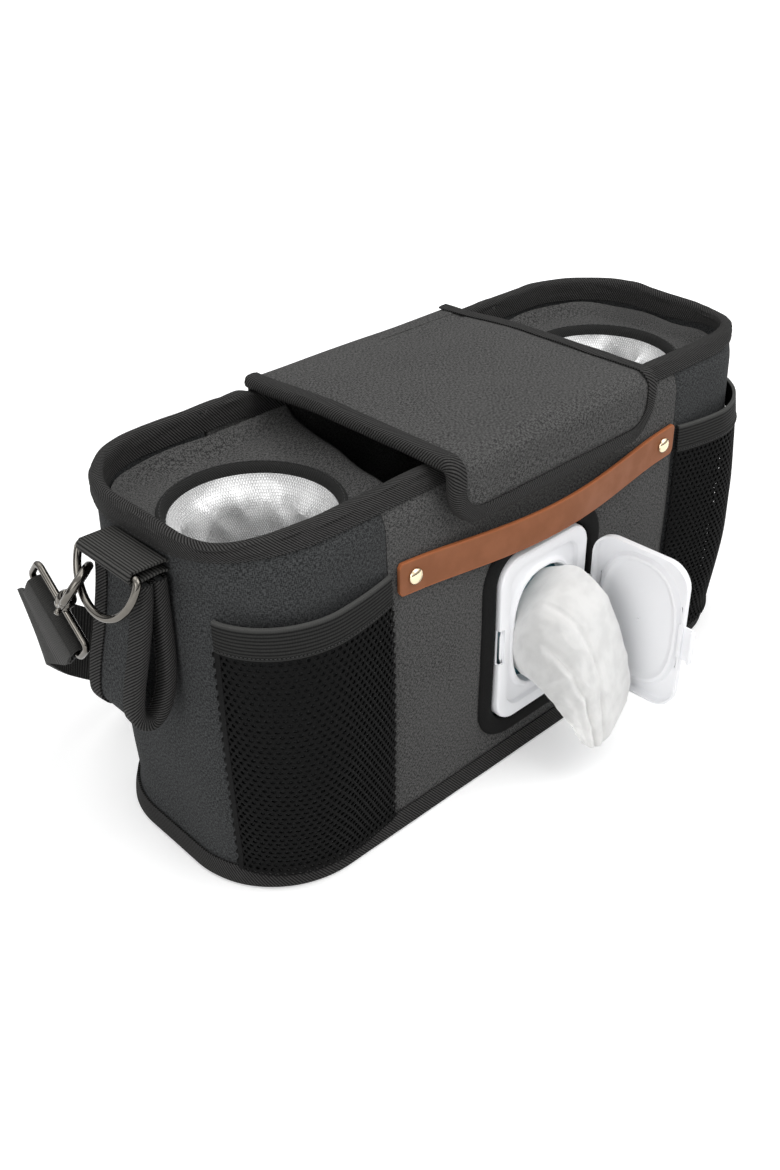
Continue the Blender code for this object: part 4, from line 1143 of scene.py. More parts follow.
class Cloth(Enum):
    """Every finish on the object."""

    CANVAS = Canvas("heather_canvas", (0.026, 0.026, 0.026), 0.9, specular=0.08,
                    light=(0.100, 0.099, 0.097))
    # Painted shade: the wall canvas made a little darker for the lid's top, which faces the lamps.
    SHADED_LID_CANVAS = Canvas("shaded_lid_canvas", (0.024, 0.024, 0.024), 0.9, specular=0.08,
                        light=(0.096, 0.095, 0.093))
    # Painted shade: the wall canvas made darker and a little cooler for the ends and the stroller
    # straps, which face away from the lamps.
    SHADED_END_CANVAS = Canvas("shaded_end_canvas", (0.015, 0.0155, 0.016), 0.9, specular=0.08,
                        light=(0.060, 0.062, 0.063))
    # The ribbed finishes' light colours are painted highlight on their rib tops.
    BINDING = Ribbed("twill_binding", (0.0015, 0.0015, 0.0015), 0.7, specular=0.04,
                     light=(0.058, 0.057, 0.056), pitch=1.5 * MM, lean=0.8, cross=0.9 * MM,
                     relief=0.45 * MM)
    FACING = Ribbed("facing_tape", (0.012, 0.012, 0.012), 0.85, specular=0.05,
                    light=(0.038, 0.038, 0.037), pitch=1.3 * MM, lean=0.9, relief=0.15 * MM)
    WINDOW_TAPE = Plain("window_tape", (0.006, 0.006, 0.006), 0.8, specular=0.06, grain=1500.0)
    # Elastic: painted highlight along its upper edge.
    ELASTIC = Ribbed("pocket_elastic", (0.006, 0.006, 0.006), 0.7, specular=0.06,
                     light=(0.030, 0.030, 0.029), pitch=1.6 * MM, lean=0.0, cross=0.9 * MM,
                     relief=0.3 * MM, turned=True, edge=14.5 * MM)
    WEBBING = Ribbed("black_webbing", (0.003, 0.003, 0.003), 0.65, specular=0.06,
                     light=(0.070, 0.069, 0.066), pitch=1.4 * MM, lean=0.0, cross=0.9 * MM,
                     relief=0.3 * MM)
    MESH = Plain("spacer_mesh", (0.003, 0.003, 0.003), 0.7, specular=0.07, grain=1600.0,
                 relief=0.3 * MM)
    LINING = Plain("black_lining", (0.004, 0.004, 0.004), 0.9, specular=0.05)
    FOIL = Foil("insulating_foil", (0.98, 0.98, 0.98), 0.22, metallic=0.35)
    LEATHER = Leather("tan_leather", (0.245, 0.090, 0.039), 0.5, specular=0.16,
                      edge_colour=(0.33, 0.105, 0.040))
    GOLD = Moulded("pale_gold", (0.86, 0.72, 0.50), 0.14, metallic=1.0, patch=120.0)
    GUNMETAL = Moulded("black_nickel", (0.15, 0.14, 0.125), 0.11, metallic=1.0, patch=90.0,
                       change=0.8)
    PLASTIC = Moulded("white_plastic", (0.90, 0.905, 0.925), 0.32, patch=12.0, change=0.985)
    FILM = Moulded("teal_film", (0.075, 0.225, 0.28), 0.3, patch=40.0, change=0.75,
                   relief=0.6 * MM)
    WIPE = Tissue("wipe_cloth", (0.88, 0.875, 0.86), 0.85, specular=0.2)
    BOARD = Moulded("base_stiffener", (0.08, 0.08, 0.08), 0.7, patch=60.0, change=0.8)
    THREAD = Plain("black_thread", (0.020, 0.020, 0.020), 0.6, specular=0.2, grain=2500.0)

    def material(self) -> bpy.types.Material:
        """The material of this finish, made when it is first asked for.

        Returns:
            The material, the same one each time.
        """
        if self.name not in FINISHED:
            FINISHED[self.name] = self.value.build()
        return FINISHED[self.name]


def dress(piece: bpy.types.Object, finish: Cloth, body: str | None = "root",
          nodes: tuple[str, ...] = ()) -> bpy.types.Object:
    """Give a piece its finish and its place in the frame.

    Args:
        piece: Finished object.
        finish: Its finish.
        body: Body that it rides on, or None to leave it unparented.
        nodes: CAD nodes that it replaces.

    Returns:
        The piece.
    """
    piece.data.materials.clear()
    piece.data.materials.append(finish.material())
    if body:
        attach(piece, body)
    if nodes:
        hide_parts(*nodes)
    LOG.info("%s: %s on %s", piece.name, finish.value.name, body or "a blend")
    return piece


# Bag body


@dataclass
class BagForm:
    """The bag's plan outline and wall shape, read from the frame."""

    corner: float = 46.2 * MM
    bulge: float = 1.5 * MM
    flare: float = 3.0 * MM
    flare_top: float = 16 * MM
    rim_band: float = 12 * MM
    half_x: float = field(init=False)
    half_y: float = field(init=False)
    height: float = field(init=False)
    seam: float = field(init=False)

    def __post_init__(self) -> None:
        """Read the outline from the rim and the front panel."""
        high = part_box("rim_binding")[1]
        self.half_x = high.x - TAPE - GAP
        self.half_y = high.y - TAPE - GAP
        self.height = high.z
        self.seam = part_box("front_panel")[1].x

    @property
    def round_length(self) -> float:
        """Length of one round corner."""
        return math.pi / 2 * self.corner

    @property
    def perimeter(self) -> float:
        """Length of the whole outline."""
        straight = 4 * (self.half_x - self.corner) + 4 * (self.half_y - self.corner)
        return straight + 4 * self.round_length

    def swell(self, height: float) -> float:
        """How far the wall stands out of the outline at a height.

        Args:
            height: Height above the floor.

        Returns:
            The offset outwards.
        """
        if height < self.flare_top:
            return self.flare * (1 - height / self.flare_top)
        top = self.height - self.rim_band
        return self.bulge * math.sin(math.pi * min((height - self.flare_top)
                                                   / (top - self.flare_top), 1))

    def front_y(self, height: float) -> float:
        """Outer face of the front wall at a height."""
        return -self.half_y - self.swell(height)

    def from_front(self, distance: float) -> float:
        """Distance along the outline from the middle of the front, either way."""
        distance %= self.perimeter
        return min(distance, self.perimeter - distance)

    def lean(self, distance: float, height: float) -> float:
        """How far the top of the front leans inwards, as the lid holds it.

        Args:
            distance: Distance along the outline.
            height: Height above the floor.

        Returns:
            The offset inwards.
        """
        away = self.from_front(distance)
        share = ease((185 * MM - away) / (50 * MM)) * (1 + 0.2 * ease((110 * MM - away)
                                                                      / (40 * MM)))
        return 9.5 * MM * share * ease((height - self.height + 16 * MM) / (22 * MM))

    def band(self, distance: float) -> float:
        """Share of its full height that the rim's tape shows at a place."""
        return 1 - 0.42 * ease((225 * MM - self.from_front(distance)) / (45 * MM))

    def at(self, distance: float) -> Edge:
        """Place on the outline.

        Args:
            distance: Distance from the middle of the front, counter-clockwise.

        Returns:
            The place and the outward direction.
        """
        distance %= self.perimeter
        straight_x, straight_y = self.half_x - self.corner, self.half_y - self.corner
        runs = [(straight_x, Vector((0, -self.half_y, 0)), 0.0),
                (self.round_length, Vector((straight_x, -straight_y, 0)), -90.0),
                (2 * straight_y, Vector((self.half_x, -straight_y, 0)), 90.0),
                (self.round_length, Vector((straight_x, straight_y, 0)), 0.0),
                (2 * straight_x, Vector((straight_x, self.half_y, 0)), 180.0),
                (self.round_length, Vector((-straight_x, straight_y, 0)), 90.0),
                (2 * straight_y, Vector((-self.half_x, straight_y, 0)), 270.0),
                (self.round_length, Vector((-straight_x, -straight_y, 0)), 180.0),
                (straight_x, Vector((-straight_x, -self.half_y, 0)), 0.0)]
        for index, (length, start, turn) in enumerate(runs):
            if distance <= length or index == len(runs) - 1:
                break
            distance -= length
        if index % 2:
            angle = math.radians(turn) + distance / self.corner
            normal = Vector((math.cos(angle), math.sin(angle), 0))
            return start + normal * self.corner, normal
        angle = math.radians(turn)
        run = Vector((math.cos(angle), math.sin(angle), 0))
        return start + run * distance, Vector((run.y, -run.x, 0))

    def sag(self, distance: float) -> float:
        """How far the rim dips at a place along the outline.

        Args:
            distance: Distance along the outline.

        Returns:
            The drop.
        """
        distance %= self.perimeter
        corner = abs(self.from_front(distance) - 0.186)
        dip = 1.6 * MM * math.exp(-(corner / 0.022) ** 2)
        under_lid = ease((0.079 - abs(distance - self.perimeter / 2)) / 0.012)
        waves = 0.6 * MM * ripple(distance, 0.0, 0.045, 4.2)
        return dip + 3.0 * MM * under_lid + waves


@dataclass
class Walls:
    """The canvas walls, with seams at their sides and soft creases."""

    form: BagForm
    seam_depth: float = 1.1 * MM
    seam_reach: float = 2.6 * MM

    def creases(self, distance: float, height: float) -> float:
        """How far the cloth stands out of its plain shape.

        Args:
            distance: Distance along the outline.
            height: Height above the floor.

        Returns:
            The offset outwards.
        """
        share = (height - 0.02) / (self.form.height - 0.045)
        quiet = ease(share * 4) * ease((1 - share) * 5)
        soft = 0.9 * MM * ripple(distance, height, 0.075, 1.0)
        fine = 0.35 * MM * ripple(distance, height, 0.022, 7.0)
        return quiet * (soft + fine)

    def pull(self, distance: float, height: float) -> float:
        """Creases that run from the pocket's top corner and the webbing tab, at the left end.

        Args:
            distance: Distance along the outline.
            height: Height above the floor.

        Returns:
            The offset outwards.
        """
        perimeter = self.form.perimeter
        corner_at = perimeter - 0.128 - 0.055
        along = (distance % perimeter) - corner_at
        drop = height - 0.150
        line = drop + 0.35 * along
        fade = math.exp(-(along / 0.035) ** 2) * math.exp(-(drop / 0.016) ** 2)
        return -1.6 * MM * fade * math.exp(-(line / 0.0045) ** 2)

    def panel(self, name: str, start: float, end: float, finish: Cloth) -> bpy.types.Object:
        """Build one wall panel between two places along the outline.

        Args:
            name: Name of the piece.
            start: Where it starts.
            end: Where it ends.
            finish: Its cloth.

        Returns:
            The panel; the front one is still to be cut and dressed.
        """
        form = self.form
        foot = 2.1 * MM
        top = form.height - TAPE - 3 * GAP
        length = end - start

        def surface(u: float, v: float) -> Vector:
            """Place on the outer face, along and up the wall."""
            distance = start + length * u
            place, normal = form.at(distance)
            height = foot + (top - form.sag(distance) - foot) * v
            edge = min(u, 1 - u) * length
            tuck = self.seam_depth * math.exp(-(edge / self.seam_reach) ** 2)
            out = form.swell(height) + self.creases(distance, height) - tuck
            out += self.pull(distance, height) - form.lean(distance, height)
            return place + normal * out + Vector((0, 0, height))

        columns = max(24, round(length / (2.2 * MM)))
        piece = Sheet(name, surface, (columns, 64), (length, top - foot), WALL).build()
        node = name.replace("_canvas", "_panel")
        return dress(piece, finish, nodes=(node,)) if name != "front_canvas" else piece

    def window_cutter(self) -> bpy.types.Object:
        """Prism that cuts the wipes window out of the front.

        Returns:
            The prism.
        """
        low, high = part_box("window_facing")
        centre = (low + high) / 2
        outline = rounded((high.x - low.x) / 2 - WINDOW_LAP, (high.z - low.z) / 2 - WINDOW_LAP,
                          WINDOW_CORNER, 10)
        bm = bmesh.new()
        face = bm.faces.new([bm.verts.new((centre.x + place.x, -0.08, centre.z + place.z))
                             for place, _ in outline[:-1]])
        pulled = bmesh.ops.extrude_face_region(bm, geom=[face])["geom"]
        moved = [item for item in pulled if isinstance(item, bmesh.types.BMVert)]
        bmesh.ops.translate(bm, vec=(0, 0.03, 0), verts=moved)
        bmesh.ops.recalc_face_normals(bm, faces=bm.faces)
        return from_bmesh("window_cutter", bm)

    def build(self) -> None:
        """Build the four panels."""
        half = self.form.perimeter / 2
        reach = self.form.seam
        front = self.panel("front_canvas", -reach, reach, Cloth.CANVAS)
        subtract(front, self.window_cutter())
        dress(smooth(front), Cloth.CANVAS, nodes=("front_panel",))
        gap = GAP
        # The two end panels take the darker canvas, painted shade.
        self.panel("right_end_canvas", reach + gap, half - reach - gap, Cloth.SHADED_END_CANVAS)
        self.panel("back_canvas", half - reach, half + reach, Cloth.CANVAS)
        self.panel("left_end_canvas", half + reach + gap, 2 * half - reach - gap,
                   Cloth.SHADED_END_CANVAS)


def rounded(half_w: float, half_h: float, corner: float, steps: int) -> list[Edge]:
    """Outline of a rounded rectangle in the XZ plane.

    Args:
        half_w: Half its width.
        half_h: Half its height.
        corner: Radius of its corners.
        steps: Stretches in each corner.

    Returns:
        Places and outward directions, closed, counter-clockwise from the front.
    """
    outline = []
    for index in range(4):
        x = (1, -1, -1, 1)[index] * (half_w - corner)
        z = (1, 1, -1, -1)[index] * (half_h - corner)
        for step in range(steps + 1):
            angle = math.radians(90 * index + 90 * step / steps)
            out = Vector((math.cos(angle), 0, math.sin(angle)))
            outline.append((Vector((x, 0, z)) + corner * out, out))
        side = Vector(((0, 0, 1), (-1, 0, 0), (0, 0, -1), (1, 0, 0))[index])
        span = Vector(((-1, 0, 0), (0, 0, -1), (1, 0, 0), (0, 0, 1))[index])
        start = outline[-1][0]
        length = 2 * ((half_w, half_h)[index % 2] - corner)
        for share in (0.2, 0.4, 0.6, 0.8):
            outline.append((start + span * length * share, side))
    outline.append(outline[0])
    return outline


@dataclass
class Bindings:
    """Ribbed tape over the rim and round the foot."""

    form: BagForm

    def channel(self, name: str, profile: list[tuple[float, float]], sagging: bool,
                puff: float) -> bpy.types.Object:
        """Sweep a tape's section round the bag.

        Args:
            name: Name of the piece.
            profile: (offset, height) points, from the outer leg to the inner one.
            sagging: Whether it follows the rim's dips.
            puff: How unevenly the tape stands out.

        Returns:
            The piece.
        """
        form = self.form
        line = even_line([Vector((offset, 0, height)) for offset, height in profile], 22)
        width = line_lengths(line)[-1]

        def surface(u: float, v: float) -> Vector:
            """Place on the tape, round the bag and across the section."""
            distance = form.perimeter * u
            place, normal = form.at(distance)
            spot = sample(line, v)
            drop, shift, height = 0.0, spot.x, spot.z
            if sagging:
                drop = form.sag(distance)
                height = form.height - (form.height - spot.z) * form.band(distance)
                shift -= form.lean(distance, height)
            fat = puff * (0.5 + ripple(distance, v, 0.018, 2.0)) * math.sin(math.pi * v)
            return place + normal * (shift + fat) + Vector((0, 0, height - drop + 0.4 * fat))

        return Sheet(name, surface, (420, 22), (form.perimeter, width), TAPE,
                     closed=True).build()

    def build(self) -> None:
        """Build both bindings and the rim's row of stitches."""
        form = self.form
        outer, inner, top = TAPE + GAP, -WALL - GAP - TAPE, form.height
        low = top - form.rim_band
        middle, radius = (outer + inner) / 2, (outer - inner) / 2
        arch = [(middle + radius * math.cos(math.radians(a)),
                 top - 0.82 * radius + 0.82 * radius * math.sin(math.radians(a)))
                for a in range(0, 181, 20)]
        rim = [(outer + form.swell(low), low), (outer + 0.5 * MM, low + 4 * MM), *arch,
               (inner - 0.2 * MM, low + 4 * MM), (inner, low)]
        dress(self.channel("rim_tape", rim, True, 1.1 * MM), Cloth.BINDING,
              nodes=("rim_binding",))
        flare_top = form.swell(10 * MM)
        foot = [(inner + flare_top, 10 * MM), (inner + form.flare, 1.2 * MM),
                (inner + form.flare + 1 * MM, 0.1 * MM), (outer + form.flare - 1 * MM, 0.1 * MM),
                (outer + form.flare, 1.2 * MM), (outer + form.flare * 0.72, 6 * MM),
                (outer + flare_top, 10.4 * MM)]
        dress(self.channel("foot_tape", foot, False, 0.2 * MM), Cloth.BINDING,
              nodes=("base_binding",))
        line = []
        for step in range(481):
            distance = form.perimeter * step / 480
            place, normal = form.at(distance)
            height = top - (form.rim_band - 1.6 * MM) * form.band(distance)
            out = outer + form.swell(low) + 0.15 * MM - form.lean(distance, height)
            line.append((place + normal * out + Vector((0, 0, height - form.sag(distance))),
                         normal))
        Stitches("rim_stitches", line, radius=0.2 * MM).sew()


# Inside


@dataclass
class Cup:
    """One cup holder: its canvas top, the facing of its hole, its foil liner and divider."""

    form: BagForm
    end: End
    bore: float = 35 * MM
    facing: float = 7 * MM
    rise: float = 7 * MM
    margin: float = 8 * MM
    hem_rise: float = 3.5 * MM
    panel: float = 2.4 * MM
    divider: float = 66.5 * MM
    slant: float = 0.2
    taper: float = 5 * MM
    facets: tuple[float, float] = (6.5 * MM, 2.6 * MM)

    def __post_init__(self) -> None:
        """Read the cup's place from the frame."""
        low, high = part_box(f"{self.end.side}_cup_facing")
        self.x = abs(low.x + high.x) / 2
        self.top = high.z - TAPE - GAP

    def divider_x(self, y: float) -> float:
        """Distance of the divider from the middle, at a depth in the bag."""
        return self.divider - self.slant * y

    def sag(self, x: float, y: float) -> float:
        """How far the canvas hangs below its attachment, from 0 to 1.

        Args:
            x: Distance from the middle of the bag.
            y: Place in its depth.

        Returns:
            The share.
        """
        inset = WALL + GAP + 0.8 * self.panel
        half_x, half_y = self.form.half_x - inset, self.form.half_y - inset
        corner = self.form.corner - inset
        over_x, over_y = x - (half_x - corner), abs(y) - (half_y - corner)
        outside = math.hypot(max(over_x, 0), max(over_y, 0)) + min(max(over_x, over_y), 0)
        wall = ease((corner - outside) / self.margin)
        ring = self.x - self.bore - self.facing - 1 * MM
        hem = self.divider_x(y)
        lift = ease((ring - x) / (ring - hem + 1 * MM)) * self.hem_rise / self.rise
        return wall * (1 - lift)

    def height(self, x: float, y: float) -> float:
        """Height of the canvas, with soft creases that stay clear of the facing.

        Args:
            x: Distance from the middle of the bag.
            y: Place in its depth.

        Returns:
            The height above the floor.
        """
        base = self.top + self.rise * (1 - self.sag(x, y))
        away = math.hypot(x - self.x, y) - self.bore - self.facing
        free = ease(away / (8 * MM))
        soft = 0.8 * MM * ripple(x, y, 0.03, 5.0 + self.end.value)
        radial = 0.5 * MM * math.sin(9 * math.atan2(y, x - self.x)) * ease(away / (14 * MM))
        return base + free * (soft + radial)

    def build_panel(self) -> None:
        """Build the canvas top, with its hem turned down at the divider."""
        inset = WALL + GAP + 0.8 * self.panel
        half_x, half_y = self.form.half_x - inset, self.form.half_y - inset
        corner = self.form.corner - inset
        hem_drop = 11 * MM
        side = self.end.value
        rows = 60

        def surface(u: float, v: float) -> Vector:
            """Place on the canvas, from the end wall to the hem."""
            v = v if side < 0 else 1 - v
            turn = math.radians(90 * min(u / 0.45, 1))
            edge = half_y - corner + corner * math.sin(turn)
            y = edge * (2 * v - 1)
            start = half_x - corner
            if u <= 0.45:
                x = start + corner * math.cos(turn)
                return Vector((side * x, y, self.height(x, y)))
            hem = self.divider_x(y)
            if u <= 0.85:
                x = start + (hem - start) * (u - 0.45) / 0.4
                return Vector((side * x, y, self.height(x, y)))
            share = (u - 0.85) / 0.15
            bend = math.radians(90 * min(share / 0.5, 1))
            radius = 3 * MM
            x = hem - radius * math.sin(bend)
            down = radius * (1 - math.cos(bend)) + hem_drop * max(share - 0.5, 0) * 2
            return Vector((side * x, y, self.height(hem, y) - down))

        piece = Sheet(f"{self.end.side}_cup_canvas", surface, (72, rows), (0.13, 0.125),
                      self.panel).build()
        bm = bmesh.new()
        bmesh.ops.create_cone(bm, cap_ends=True, segments=96, radius1=self.bore + 5.5 * MM,
                              radius2=self.bore + 5.5 * MM, depth=0.03,
                              matrix=Matrix.Translation((side * self.x, 0, self.top)))
        subtract(piece, from_bmesh("cup_cutter", bm))
        dress(smooth(piece), Cloth.CANVAS, nodes=(f"{self.end.side}_cup_panel",))

    def build_facing(self) -> None:
        """Build the tape round the hole, turned down inside it, with a row of stitches."""
        bore, reach = self.bore, self.bore + self.facing
        top = self.top + GAP + TAPE
        outline = [(reach, -1.0), (reach, -0.8), (reach - 0.5 * MM, -0.25), (reach - 1.5 * MM, 0),
                   (reach - 2.4 * MM, -0.2), (bore + 4.0 * MM, -1.0), (bore + 3.4 * MM, -2.4),
                   (bore + 3.0 * MM, -4.5), (bore + 2.8 * MM, -7.0), (bore + 3.6 * MM, -7.0),
                   (bore + 4.0 * MM, -4.5), (bore + 4.4 * MM, -2.6), (bore + 5.2 * MM, -1.6),
                   (reach, -1.0)]
        profile = [(radius, top + drop * MM) for radius, drop in outline]
        piece = lathe(f"{self.end.side}_cup_tape", list(reversed(profile)), 112)
        piece.location = (self.end.value * self.x, 0, 0)
        dress(piece, Cloth.FACING, nodes=(f"{self.end.side}_cup_facing",))
        line = []
        for step in range(97):
            angle = 2 * math.pi * step / 96
            radius = reach - 1.7 * MM
            line.append((Vector((self.end.value * self.x + radius * math.cos(angle),
                                 radius * math.sin(angle), top + 0.1 * MM)), Vector((0, 0, 1))))
        Stitches(f"{self.end.side}_cup_stitches", line, radius=0.22 * MM).sew()

    def build_liner(self) -> None:
        """Build the foil cup, with the flat facets and creases of crumpled film."""
        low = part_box(f"{self.end.side}_cup_liner")[0].z
        radius, top = self.bore + 2.6 * MM, self.top - 3.6 * MM
        depth = top - low
        seed = 3.0 + self.end.value

        def surface(u: float, v: float) -> Vector:
            """Place on the foil, round it and down to its middle."""
            angle = 2 * math.pi * u
            floor = 0.76
            if v < floor:
                height = top - depth * (v / floor)
                away = radius - self.taper * v / floor
                quiet = ease(v / 0.06)
            else:
                share = (v - floor) / (1 - floor)
                height = low + 0.2 * MM
                away = (radius - self.taper) * (1 - share) + 0.01 * MM
                quiet = 1 - share
            bend = angle * radius
            facet = self.facets[0] * ridge(bend + 0.5 * height, 0.5 * height, 0.034, seed)
            facet += self.facets[1] * ridge(bend - 0.8 * height, height, 0.018, seed + 4)
            away = max(away - quiet * facet, 0.01 * MM)
            return Vector((away * math.cos(angle), away * math.sin(angle), height))

        piece = Sheet(f"{self.end.side}_cup_foil", surface, (120, 60),
                      (2 * math.pi * radius, depth + radius), 0.5 * MM, closed=True).build()
        piece.location = (self.end.value * self.x, 0, 0)
        dress(piece, Cloth.FOIL, nodes=(f"{self.end.side}_cup_liner",))

    def build_divider(self) -> None:
        """Build the lining between the cup and the middle."""
        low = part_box(f"{self.end.side}_divider")[0].z
        reach = self.form.half_y - WALL - 2 * GAP - TAPE
        side = self.end.value

        def surface(u: float, v: float) -> Vector:
            """Place on the lining, across and up."""
            y = reach * (2 * u - 1) * side
            x = self.divider_x(y)
            top = self.height(x, y) - self.panel - 1.8 * MM
            x += 1.2 * MM * ripple(y, v, 0.05, 8.0) * math.sin(math.pi * v)
            return Vector((side * x, y, low + (top - low) * v))

        piece = Sheet(f"{self.end.side}_divider_cloth", surface, (36, 24), (0.12, 0.155),
                      2.5 * MM).build()
        dress(piece, Cloth.LINING, nodes=(f"{self.end.side}_divider",))

    def build(self) -> None:
        """Build the whole cup holder."""
        self.build_panel()
        self.build_facing()
        self.build_liner()
        self.build_divider()


# Lid


@dataclass
class Lid:
    """The padded flap over the middle, its tape, and the cloth that hinges it."""

    pad: float = 2.8 * MM
    fold: float = 6.5 * MM
    corner: float = 18 * MM
    tape_width: float = 7 * MM
    tape_lift: float = 1.2 * MM
    crown: float = 1.9 * MM
    back_drop: float = 3.2 * MM
    back_crease: float = 17 * MM

    def __post_init__(self) -> None:
        """Read the lid's size from the frame."""
        low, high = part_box("lid_flap")
        self.half = high.x
        self.front, self.back = low.y, high.y
        self.top, self.foot = high.z, low.z
        self.lip = self.top - self.fold - self.foot
        self.arc = math.pi / 2 * self.fold
        self.length = self.lip + self.arc + self.back - self.front - self.fold

    def side(self, station: float) -> tuple[Vector, Vector, Vector]:
        """Side view of the outer face.

        Args:
            station: Distance from the lip's edge.

        Returns:
            Place, direction towards the hinge and outward direction.
        """
        if station <= self.lip:
            return (Vector((0, self.front, self.foot + station)), Vector((0, 0, 1)),
                    Vector((0, -1, 0)))
        if station <= self.lip + self.arc:
            angle = (station - self.lip) / self.fold
            out = Vector((0, -math.cos(angle), math.sin(angle)))
            centre = Vector((0, self.front + self.fold, self.top - self.fold))
            return centre + out * self.fold, Vector((0, math.sin(angle), math.cos(angle))), out
        run = station - self.lip - self.arc
        drop = self.back_drop * ease(1 - (self.length - station) / (62 * MM))
        return (Vector((0, self.front + self.fold + run, self.top - drop)), Vector((0, 1, 0)),
                Vector((0, 0, 1)))

    def half_width(self, station: float) -> float:
        """Half width at a distance from the lip's edge.

        Args:
            station: Distance from the lip's edge.

        Returns:
            The half width.
        """
        if station >= self.corner:
            return self.half
        return (self.half - self.corner
                + math.sqrt(max(self.corner ** 2 - (self.corner - station) ** 2, 0)))

    def puff(self, across: float, station: float) -> float:
        """How far the padding stands out: crowned, and pinched at its seams.

        Args:
            across: Distance from the middle.
            station: Distance from the lip's edge.

        Returns:
            The offset outwards.
        """
        half = self.half_width(station)
        edge = max(min(half - abs(across), station), 0)
        rise = self.crown * (1 - math.exp(-edge / (9 * MM)))
        rise *= ease((self.length - station) / (20 * MM))
        seams = (self.lip + 0.62 * self.arc, self.length - self.back_crease)
        pinch = sum(math.exp(-((station - seam) / (2.6 * MM)) ** 2) for seam in seams)
        soft = 0.7 * MM * ripple(across, station, 0.045, 11.0)
        return rise * (1 - 0.85 * min(pinch, 1)) + soft * ease(edge / (15 * MM))

    def build_flap(self) -> None:
        """Build the padded canvas."""
        stations = [self.corner * (1 - math.cos(math.radians(a))) for a in range(0, 90, 8)]
        steps = round((self.length - self.corner) / (1.6 * MM))
        stations += [self.corner + (self.length - self.corner) * k / steps
                     for k in range(steps + 1)]

        def surface(u: float, v: float) -> Vector:
            """Place on the canvas, across and from lip to hinge."""
            station = stations[round(v * (len(stations) - 1))]
            place, _, out = self.side(station)
            across = self.half_width(station) * (2 * u - 1)
            return place + Vector((across, 0, 0)) + out * self.puff(across, station)

        piece = Sheet("shaded_lid_canvas_pad", surface, (80, len(stations) - 1),
                      (2 * self.half, self.length), self.pad).build()
        # The lid takes the darker copy of the canvas, painted shade on its top.
        dress(piece, Cloth.SHADED_LID_CANVAS, body="lid", nodes=("lid_flap",))

    def edge(self) -> list[tuple[Vector, Vector, Vector]]:
        """Free edge of the lid, from the hinge round the lip and back.

        Returns:
            Places, directions out of the cloth and outward normals.
        """
        flat: list[tuple[float, float, float, float]] = []
        for station in [self.length - 1.5 * MM * k
                        for k in range(round((self.length - self.corner) / (1.5 * MM)) + 1)]:
            flat.append((self.half, max(station, self.corner), 1, 0))
        for step in range(1, 25):
            angle = math.radians(90 * step / 24)
            flat.append((self.half - self.corner * (1 - math.cos(angle)),
                         self.corner * (1 - math.sin(angle)), math.cos(angle),
                         -math.sin(angle)))
        reach = self.half - self.corner
        flat += [(reach - reach * k / 30, 0.0, 0, -1) for k in range(1, 31)]
        flat += [(-x, station, -out, along) for x, station, out, along in reversed(flat[:-1])]
        result = []
        for x, station, out, along in flat:
            place, run, normal = self.side(station)
            result.append((place + Vector((x, 0, 0)), Vector((out, 0, 0)) + run * along, normal))
        return result

    def build_tape(self) -> None:
        """Build the ribbed tape round the edge and its stitches."""
        edge = list(reversed(self.edge()))
        reach = self.tape_width - TAPE - GAP
        depth, lift = self.pad, self.tape_lift
        line = section([(-reach, lift), (-0.5 * reach, lift + 0.4 * MM), (0.2 * MM, lift),
                        (1.2 * MM, -0.6 * MM), (1.2 * MM, -depth + 0.9 * MM),
                        (0, -depth - 0.6 * MM), (-reach, -depth - 0.5 * MM)], 6, 20)
        width = line_lengths(line)[-1]
        places = [place for place, _, _ in edge]
        lengths = line_lengths(places)

        def surface(u: float, v: float) -> Vector:
            """Place on the tape, round the edge and across it."""
            index = round(u * (len(edge) - 1))
            place, out, normal = edge[index]
            spot = sample(line, v)
            fat = 0.35 * MM * ripple(lengths[index], v, 0.02, 9.0)
            return place + out * spot.x + normal * (spot.y + fat)

        piece = Sheet("lid_tape", surface, (len(edge) - 1, 20), (lengths[-1], width),
                      0.8 * TAPE).build()
        dress(piece, Cloth.BINDING, body="lid", nodes=("lid_binding",))
        row = [(place - out * (reach - 1.5 * MM) + normal * (lift + 0.25 * MM), normal)
               for place, out, normal in edge]
        Stitches("lid_stitches", row, radius=0.2 * MM).sew("lid")

    def build_hinge(self) -> None:
        """Build the canvas that runs from the back of the bag onto the lid."""
        low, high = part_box("lid_hinge_strip")
        half = high.x
        outer = high.y + 0.25 * MM
        crest = self.top - self.back_drop + 0.9 * MM
        line = section([(outer, low.z), (outer, crest - 7 * MM),
                        (outer + 0.3 * MM, crest - 3.5 * MM),
                        (outer - 0.6 * MM, crest - 1.2 * MM), (outer - 3.5 * MM, crest),
                        (outer - 11 * MM, crest + 0.4 * MM)], 8, 40)
        length = line_lengths(line)[-1]

        def surface(u: float, v: float) -> Vector:
            """Place on the hinge cloth, across and up."""
            spot = sample(line, v)
            return Vector((half * (1 - 2 * u), spot.x, spot.y))

        piece = Sheet("lid_hinge_cloth", surface, (40, 40), (2 * half, length),
                      0.9 * MM).build()
        # The hinge cloth takes the lid's darker canvas, painted shade.
        dress(piece, Cloth.SHADED_LID_CANVAS, body=None, nodes=("lid_hinge_strip",))
        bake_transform(piece)

    def build(self) -> None:
        """Build the whole lid."""
        self.build_flap()
        self.build_tape()
        self.build_hinge()


# Pockets


